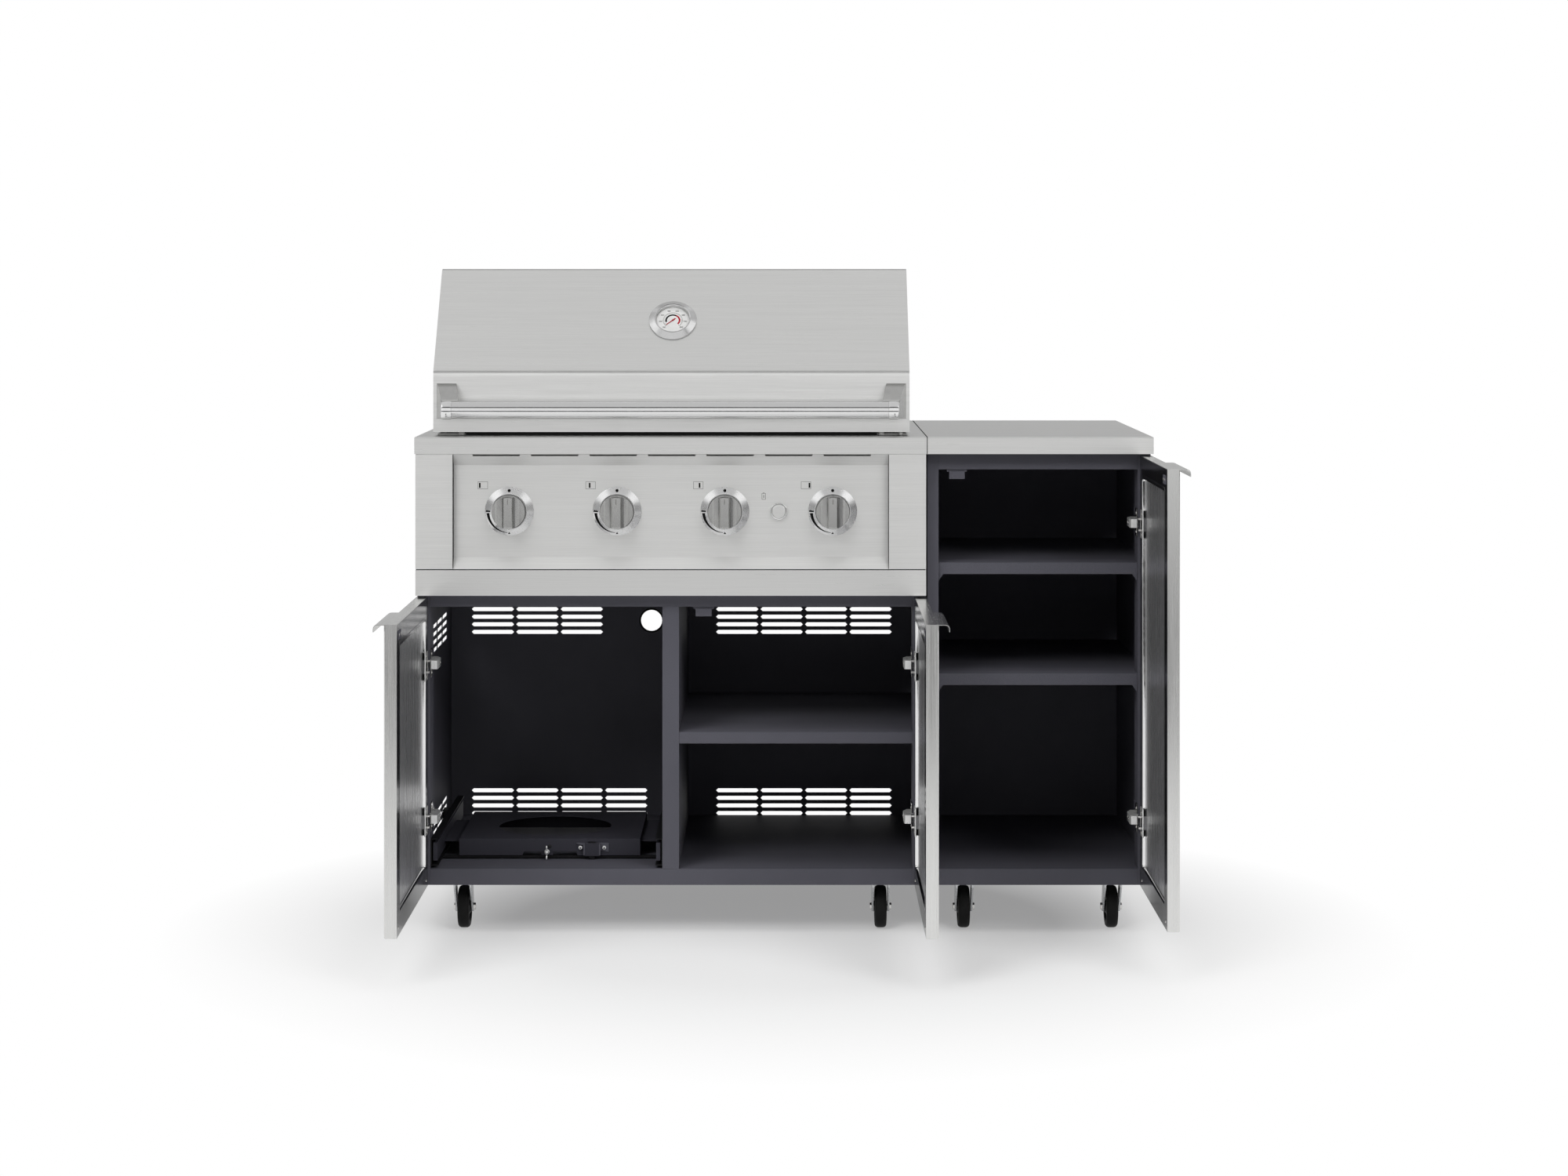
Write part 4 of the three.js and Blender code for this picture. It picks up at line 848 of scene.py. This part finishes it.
def door_side_of_hinge(name, door):
    """The door's side of its hinges: a plate around each cup, and two short link plates."""
    hand, place = door["hand"], door_place(door)
    near, far, face = 5.6, 41.4, 12.5
    plates, links, spots = [], [], []
    for height in door["hinges"]:
        z = height - DOOR_BOTTOM
        for u0, u1, z0, z1 in (
            (near, far, -CUP_PLATE, -CUP_HOLE), (near, far, CUP_HOLE, CUP_PLATE),
            (near, 8.0, -CUP_HOLE, CUP_HOLE), (34.2, far, -CUP_HOLE, CUP_HOLE),
        ):
            plates.append(cuboid(hand * u0, hand * u1, 10.7, face, z + z0, z + z1))
        links += [cuboid(hand * 16.8, hand * 30.2, -7, 18.2, z + s * 8.5, z + s * 11.7) for s in (-1, 1)]
        spots += [(hand * 26, face, z + dz) for dz in (-18.5, 18.5)]
    piece(f"{name}_cup_plates", moved(merge(*plates), place), HINGE_NICKEL, name, bevel=0.3)
    piece(f"{name}_links", moved(merge(*links), place), NICKEL, name, bevel=0.4)
    door_screws(name, "cup", spots, place, 3.4, 1.2)


# Door liners: the recessed field with its slanted edge, the catch plate and the screws
def liner_field(name, door):
    """A field one step deep inside the door's edges; its slanted rim and lip stop at the cups."""
    hand, place = door["hand"], door_place(door)
    inset, step = 35, 5
    floor_y = LINER_FACE - step
    left, right = -PIVOT_INSET + inset, door["width"] - PIVOT_INSET - inset
    low, high = inset, door["height"] - inset
    cups = sorted((z - DOOR_BOTTOM for z in door["hinges"]), reverse=True)

    def ring(grow, y):
        """The field's outline, with points on its hinge side where the cups interrupt it."""
        side, middle = left - grow, (left + right) / 2
        path = [
            (middle, low - grow), (right + grow, low - grow), (right + grow, high + grow),
            (side, high + grow), (side, low - grow), (middle, low - grow),
        ]
        outline = bent(path, max(3.0, 9 + grow), 5)[:-1]
        points = []
        for a, b in zip(outline, outline[1:] + outline[:1]):
            points.append((a.x, a.y))
            if abs(a.x - side) < 0.01 and abs(b.x - side) < 0.01 and a.y - b.y > 4 * CUP_GAP:
                points += [(side, z + s * CUP_GAP) for z in cups for s in (1, -1)]
        return [(hand * u, y, z) for u, z in points]

    def band(*rings):
        """Rings joined one to the next, left open across the cups."""
        count = len(rings[0])
        faces = []
        for i in range(count):
            j = (i + 1) % count
            drop = rings[0][i][2] - rings[0][j][2]
            if abs(drop - 2 * CUP_GAP) > 0.01:
                for base in range(0, count * (len(rings) - 1), count):
                    faces.append([base + i, base + j, base + count + j, base + count + i])
        return moved(([p for r in rings for p in r], faces), place)

    crest = ring(-step + 1.2, LINER_FACE + 0.4)
    rim = band(
        ring(-step - 0.9, floor_y + 0.25), ring(-step - 0.3, floor_y + 0.5),
        ring(-step + 0.5, LINER_FACE - 0.3), crest,
    )
    piece(f"{name}_field_rim", rim, POLISHED, name, sharp=50)
    lip = band(crest, ring(1.6, LINER_FACE + 0.4), ring(2.2, LINER_FACE + 0.05))
    piece(f"{name}_field_lip", lip, LINER_STEEL, name, sharp=50)
    field = loft([ring(-step - 0.5, floor_y + lift) for lift in (0.3, 0.1)])
    piece(f"{name}_field", moved(field, place), FIELD_STEEL, name)


def catch_plate(name, door):
    hand, place = door["hand"], door_place(door)
    edge, top = door["width"] - PIVOT_INSET, door["height"]
    centre, face = edge - 34, 12.1
    plate = cuboid(hand * (centre - 18), hand * (centre + 18), LINER_FACE, face, top - 27, top - 12)
    piece(f"{name}_catch_plate", moved(plate, place), PAINT, name, bevel=0.3)
    spots = [(hand * (centre + du), face, top - 19.5) for du in (-11, 11)]
    door_screws(name, "catch", spots, place, 2.8, 1.0)
    feet = [(hand * u, LINER_FACE, 14) for u in (18, edge - 22)]
    door_screws(name, "foot", feet, place, 2.8, 1.0)


def door_details():
    for name, door in DOORS.items():
        liner_field(name, door)
        catch_plate(name, door)


# Gas bottle tray: cross bar, latch plate, plug and wing screw
def tray_details():
    front = 128.2
    bar = cuboid(-634, -227, 132, 140, 118.2, 122.6)
    piece("tray_cross_bar", bar, BLACK_PAINT, "bottle_tray", bevel=0.4)
    path = [(-382, 129.6), (-382, 146.6), (-322, 146.6), (-322, 129.6), (-382, 129.6)]
    latch = prism_y(bent(path, 1.6, 3)[1:-1], front, 129.3)
    block = cuboid(-369, -337, 121.6, 128.4, 124.6, 145.4)
    piece("latch_plate", merge(latch, block), PAINT, "bottle_tray", bevel=0.4)
    spots = [((x, front, 137.6), (0, -1, 0)) for x in (-374.5, -330.5)]
    screws("latch_screws", spots, "bottle_tray", HINGE_NICKEL, 3.9, 2.2)
    plug = [(0, 0), (3.5, 0), (3.5, 0.7), (2.6, 1.1), (0, 1.1)]
    plug_shape = turned_at(plug, (-430.9, 130.2, 139.9), (0, -1, 0), 32)
    piece("tray_plug", plug_shape, PLASTIC, "bottle_tray")
    wing_screw()


def wing_screw():
    """A ball-headed screw with two thin wings, upright across its axis."""
    x, z = -435.6, 131
    radius, centre = 4.3, 116.7
    turns = [math.radians(15 * i) for i in range(1, 11)]
    ball = [(radius * math.sin(a), centre - radius * math.cos(a)) for a in turns]
    shank = [(3.2, 121.6), (4.6, 122.2), (4.6, 124.4), (2.6, 125), (2.6, 157.5), (0, 157.5)]
    screw = turned_at([(0, centre - radius), *ball, *shank], (x, 0, z), (0, 1, 0), 40)
    outline = [
        (119.5, 2), (113.6, 5.5), (112.3, 9), (112.8, 12), (114.4, 12.9), (116.4, 12.2), (117.6, 9),
        (121.5, 3),
    ]
    wings = [prism_x([(y, z + side * v) for y, v in outline], x - 1.1, x + 1.1) for side in (-1, 1)]
    screw_piece = piece("wing_screw_head", merge(screw, *wings), HINGE_NICKEL, "wing_screw")
    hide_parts("tray_wing_screw")


# Cabinets: shelf gussets, black discs for the painted shade in the pin holes, screws of the back panels, and
# the grommet of the hose hole
def cabinet_details():
    shelf_tops, left, right, back = (650.4, 449.4), 280.1, 639.7, 603.3
    gussets = []
    for top in shelf_tops:
        for corner, inward in ((left, 9), (right, -10)):
            outline = [(corner, top), (corner + inward, top), (corner, top - 13.5)]
            gussets.append(prism_y(outline if inward < 0 else outline[::-1], 41, 43))
    piece("shelf_gussets", merge(*gussets), PAINT, "cabinet", bevel=0.2)
    flanges = (-654.7, 247.2, 268.1, 654.7)
    places = [((x, back, z), (0, 1, 0)) for x in flanges for z in (112, 300, 490, 680, 860)]
    screws("back_screws", places, "cabinet", BLACK_PAINT, 4.2, 1.8)
    # Black discs on the stile stand in for the shade inside the shelf-pin holes: painted shade.
    hole_shade = [(0, 0), (2.3, 0), (2.3, 0.15), (0, 0.15)]
    hole_shades = [turned_at(hole_shade, (640.2, 48, z), (-1, 0, 0), 16) for z in (702, 602, 552, 503)]
    piece("shelf_pin_hole_shades", merge(*hole_shades), INK, "cabinet")
    rim = [(21.1, -1.6), (24.5, -1.6), (25.2, -0.8), (25.2, 1.6), (24.0, 2.4), (22.0, 2.6), (21.1, 2.2)]
    grommet = turned_at(rim, (-263.4, 601.5, 503.6), (0, 1, 0), 64)
    piece("hose_grommet", grommet, RUBBER, "cabinet")


# Casters
def fork_shape(top, trail):
    """Two legs with rounded feet, a crown plate, the axle and its nuts, about the swivel axis."""
    foot = [
        (trail + 9.3 * math.cos(a), WHEEL_RADIUS + 9.3 * math.sin(a))
        for a in (math.radians(200 + i * 14) for i in range(12))
    ]
    outline = [*foot, (18.3, top - 15), (18.3, top + 0.2), (-18.3, top + 0.2), (-18.3, top - 15)]
    legs = [prism_x(outline, *sorted((side * 12.6, side * 16.2))) for side in (-1, 1)]
    crown = cuboid(-16.2, 16.2, -18.3, 18.3, top - 2.8, top + 0.2)
    axle = rod(4.1, (-18.6, trail, WHEEL_RADIUS), (18.6, trail, WHEEL_RADIUS), 24)
    head = hex_nut((15.8, trail, WHEEL_RADIUS), (1, 0, 0), 6.4, 4.4)
    nut = hex_nut((-15.8, trail, WHEEL_RADIUS), (-1, 0, 0), 6.4, 3.6)
    return merge(*legs, crown), merge(axle, head, nut)


def mirrored(side):
    """A closed profile from one half of it: radius, and distance from the wheel's middle."""
    return [(radius, -offset) for radius, offset in side] + side[::-1]


def wheel_shape(name, body, x, y):
    tyre = mirrored([(26, 9.8), (30, 10.8), (34, 10.4), (36.6, 8.6), (37.8, 5.5), (38, 3)])
    hub = mirrored([(4.4, 12), (9, 12), (11, 11), (12.5, 8), (25, 7), (26.2, 9.4)])
    origin = (x, y, WHEEL_RADIUS)
    tread = turned_at(tyre, origin, (1, 0, 0), 96)
    wheel = piece(f"{name}_tyre", tread, RUBBER, body, sharp=50)
    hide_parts(name)
    rim = turned_at(hub, origin, (1, 0, 0), 48)
    piece(f"{name}_hub", rim, PLASTIC, body)


def casters():
    race = [(0, 94), (19, 94), (19.6, 95), (19.6, 96.6), (18.4, 97.7), (0, 97.7)]
    cup = [
        (0, 98), (18.6, 98), (20.2, 99.4), (20.4, 103), (21.5, 108), (24, CASTER_PLATE_Z), (0, CASTER_PLATE_Z),
    ]
    for number, x in enumerate(CASTER_XS, 1):
        body = f"fork_{number}"
        legs, axle = (shifted(shape, x, SWIVEL_Y) for shape in fork_shape(95, TRAIL))
        fork = piece(f"{body}_legs", legs, ZINC, body, bevel=0.5)
        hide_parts(f"caster_fork_{number}")
        piece(f"{body}_axle", axle, NICKEL, body)
        piece(f"{body}_race", shifted(lathe(race, 48), x, SWIVEL_Y), ZINC, body)
        cup_shape = shifted(lathe(cup, 48), x, SWIVEL_Y)
        piece(f"swivel_{number}_cup", cup_shape, ZINC, "cabinet")
        plate = cuboid(x - 30.2, x + 30.2, SWIVEL_Y - 28.2, SWIVEL_Y + 32.2, CASTER_PLATE_Z, 114.9)
        piece(f"swivel_{number}_plate", plate, ZINC, "cabinet", bevel=0.4)
        legs, axle = (shifted(shape, x, REAR_Y) for shape in fork_shape(113, 0))
        piece(f"rear_fork_{number}", legs, ZINC, "cabinet", bevel=0.5)
        piece(f"rear_axle_{number}", axle, NICKEL, "cabinet")
        bolts = [
            hex_nut((x + dx, y + dy, CASTER_PLATE_Z), (0, 0, -1), 5.4, 4)
            for y in (SWIVEL_Y + 2, REAR_Y) for dx in (-24, 24) for dy in (-23, 23)
        ]
        piece(f"caster_bolts_{number}", merge(*bolts), NICKEL, "cabinet")
        wheel_shape(f"front_wheel_{number}", f"front_wheel_{number}", x, SWIVEL_Y + TRAIL)
        wheel_shape(f"rear_wheel_{number}", f"rear_wheel_{number}", x, REAR_Y)


# Stage: floor, light and camera
def sheet(name, corners):
    """One face with a material of its own."""
    mesh = bpy.data.meshes.new(name)
    mesh.from_pydata(corners, [], [(0, 1, 2, 3)])
    look = new_look(name)
    mesh.materials.append(look.owner)
    return new_object(name, mesh), look


def floor():
    half = 40
    obj, look = sheet("floor", [(x, y, 0) for x, y in box_outline(-half, half, -half, half)])
    look.surface({"Base Color": (0.9, 0.9, 0.9, 1), "Roughness": 0.9, "Specular IOR Level": 0.0})
    distance = look.node("VectorMath", {0: look.coordinate("Object")}, operation="LENGTH")
    far = look.spread(distance.outputs["Value"], 0.3, 1.0, 0.5, 1.14)
    factor = look.math("MULTIPLY", far, look.seen_ray())
    matt, white = look.nodes["Principled BSDF"], look.node("Emission", {})
    mix = look.node("MixShader", {0: factor, 1: matt.outputs[0], 2: white.outputs[0]})
    look.fill(look.nodes["Material Output"], {"Surface": mix.outputs[0]})


def world_light(strength):
    """A world that is white where it is seen and weak where it lights."""
    world = bpy.data.worlds.new("studio")
    bpy.context.scene.world = world
    look = Look(world)
    level = look.spread(look.seen_ray(), strength, 1.0, 0.0, 1.0)
    look.fill(look.nodes["Background"], {"Color": (1, 1, 1, 1), "Strength": level})


def area_lamp(name, position, target, size, power):
    data = bpy.data.lights.new(name, "AREA")
    data.shape = "RECTANGLE"
    data.size, data.size_y = size
    data.energy = power
    lamp = new_object(name, data)
    lamp.location = position
    lamp.rotation_euler = (Vector(target) - Vector(position)).to_track_quat("-Z", "Y").to_euler()
    return lamp


def card(name, corners, level):
    """A studio card that only gloss sees: it gives the metal its soft bands."""
    obj, look = sheet(name, corners)
    look.nodes.remove(look.nodes["Principled BSDF"])
    glow = look.node("Emission", {"Color": (level, level, level, 1)})
    look.fill(look.nodes["Material Output"], {"Surface": glow.outputs[0]})
    obj.visible_camera = False
    obj.visible_diffuse = False
    obj.visible_shadow = False
    obj.visible_transmission = False


def studio_cards():
    front, rear, ceiling = -6.6, 4.2, 7.4
    for name, y, low, high, level in (
        ("front_card", front, 1.9, 4.8, 0.95),
        ("strip_card", front, 4.8, ceiling, 0.08),
        ("rear_low_card", rear, 0.3, 2.2, 0.58),
        ("rear_high_card", rear, 2.2, 6.0, 0.25),
    ):
        card(name, [(x, y, z) for x, z in box_outline(-6, 6, low, high)], level)
    for name, side in (("left", -1), ("right", 1)):
        wall = [(side * 6.2, y, z) for y, z in box_outline(-6, 3.5, 0.2, 3.3)]
        card(f"{name}_side_card", wall, 0.36)
        slant = ((2.7, -3.6, 5.1), (2.7, -0.3, 5.1), (5.0, -0.3, 3.4), (5.0, -3.6, 3.4))
        card(f"{name}_soft_box", [(side * x, y, z) for x, y, z in slant], 1.3)
    for name, bounds, z, level in (
        ("ceiling_card", (-7, 7, front, rear), ceiling, 0.68),
        ("floor_card", (-5, 5, -8.6, -3.0), 0.01, 0.06),
    ):
        card(name, [(x, y, z) for x, y in box_outline(*bounds)], level)


def lights():
    world_light(0.16)
    # Name, place, aim and size in metres, and watts
    for name, place, aim, size, power in (
        ("key", (-2.6, -4.2, 4.2), (0, 0, 0.5), (2.6, 2.2), 120),
        ("fill", (3.0, -4.2, 3.8), (0, 0, 0.5), (2.4, 2.0), 90),
        ("top", (0.2, -1.3, 5.4), (0.2, -0.6, 0), (4.5, 3.5), 108),
        ("rear", (0.5, 3.5, 3.8), (0, 0, 0.8), (3.0, 2.0), 30),
    ):
        area_lamp(name, place, aim, size, power).visible_glossy = False
    studio_cards()


def camera():
    data = bpy.data.cameras.new("camera")
    data.sensor_width = 36
    data.sensor_fit = "HORIZONTAL"
    data.lens = CAMERA_LENS
    data.shift_y = CAMERA_SHIFT
    obj = new_object("camera", data)
    obj.location = (0, -CAMERA_DISTANCE, CAMERA_HEIGHT)
    obj.rotation_euler = (math.pi / 2, 0, 0)
    bpy.context.scene.camera = obj


dress_cad()
camera()
lights()
floor()
hood_shell()
hood_handle()
thermometer()
controls()
hinge_sets()
door_details()
tray_details()
cabinet_details()
casters()

bpy.context.scene.view_settings.view_transform = "Standard"
bpy.context.view_layer.update()
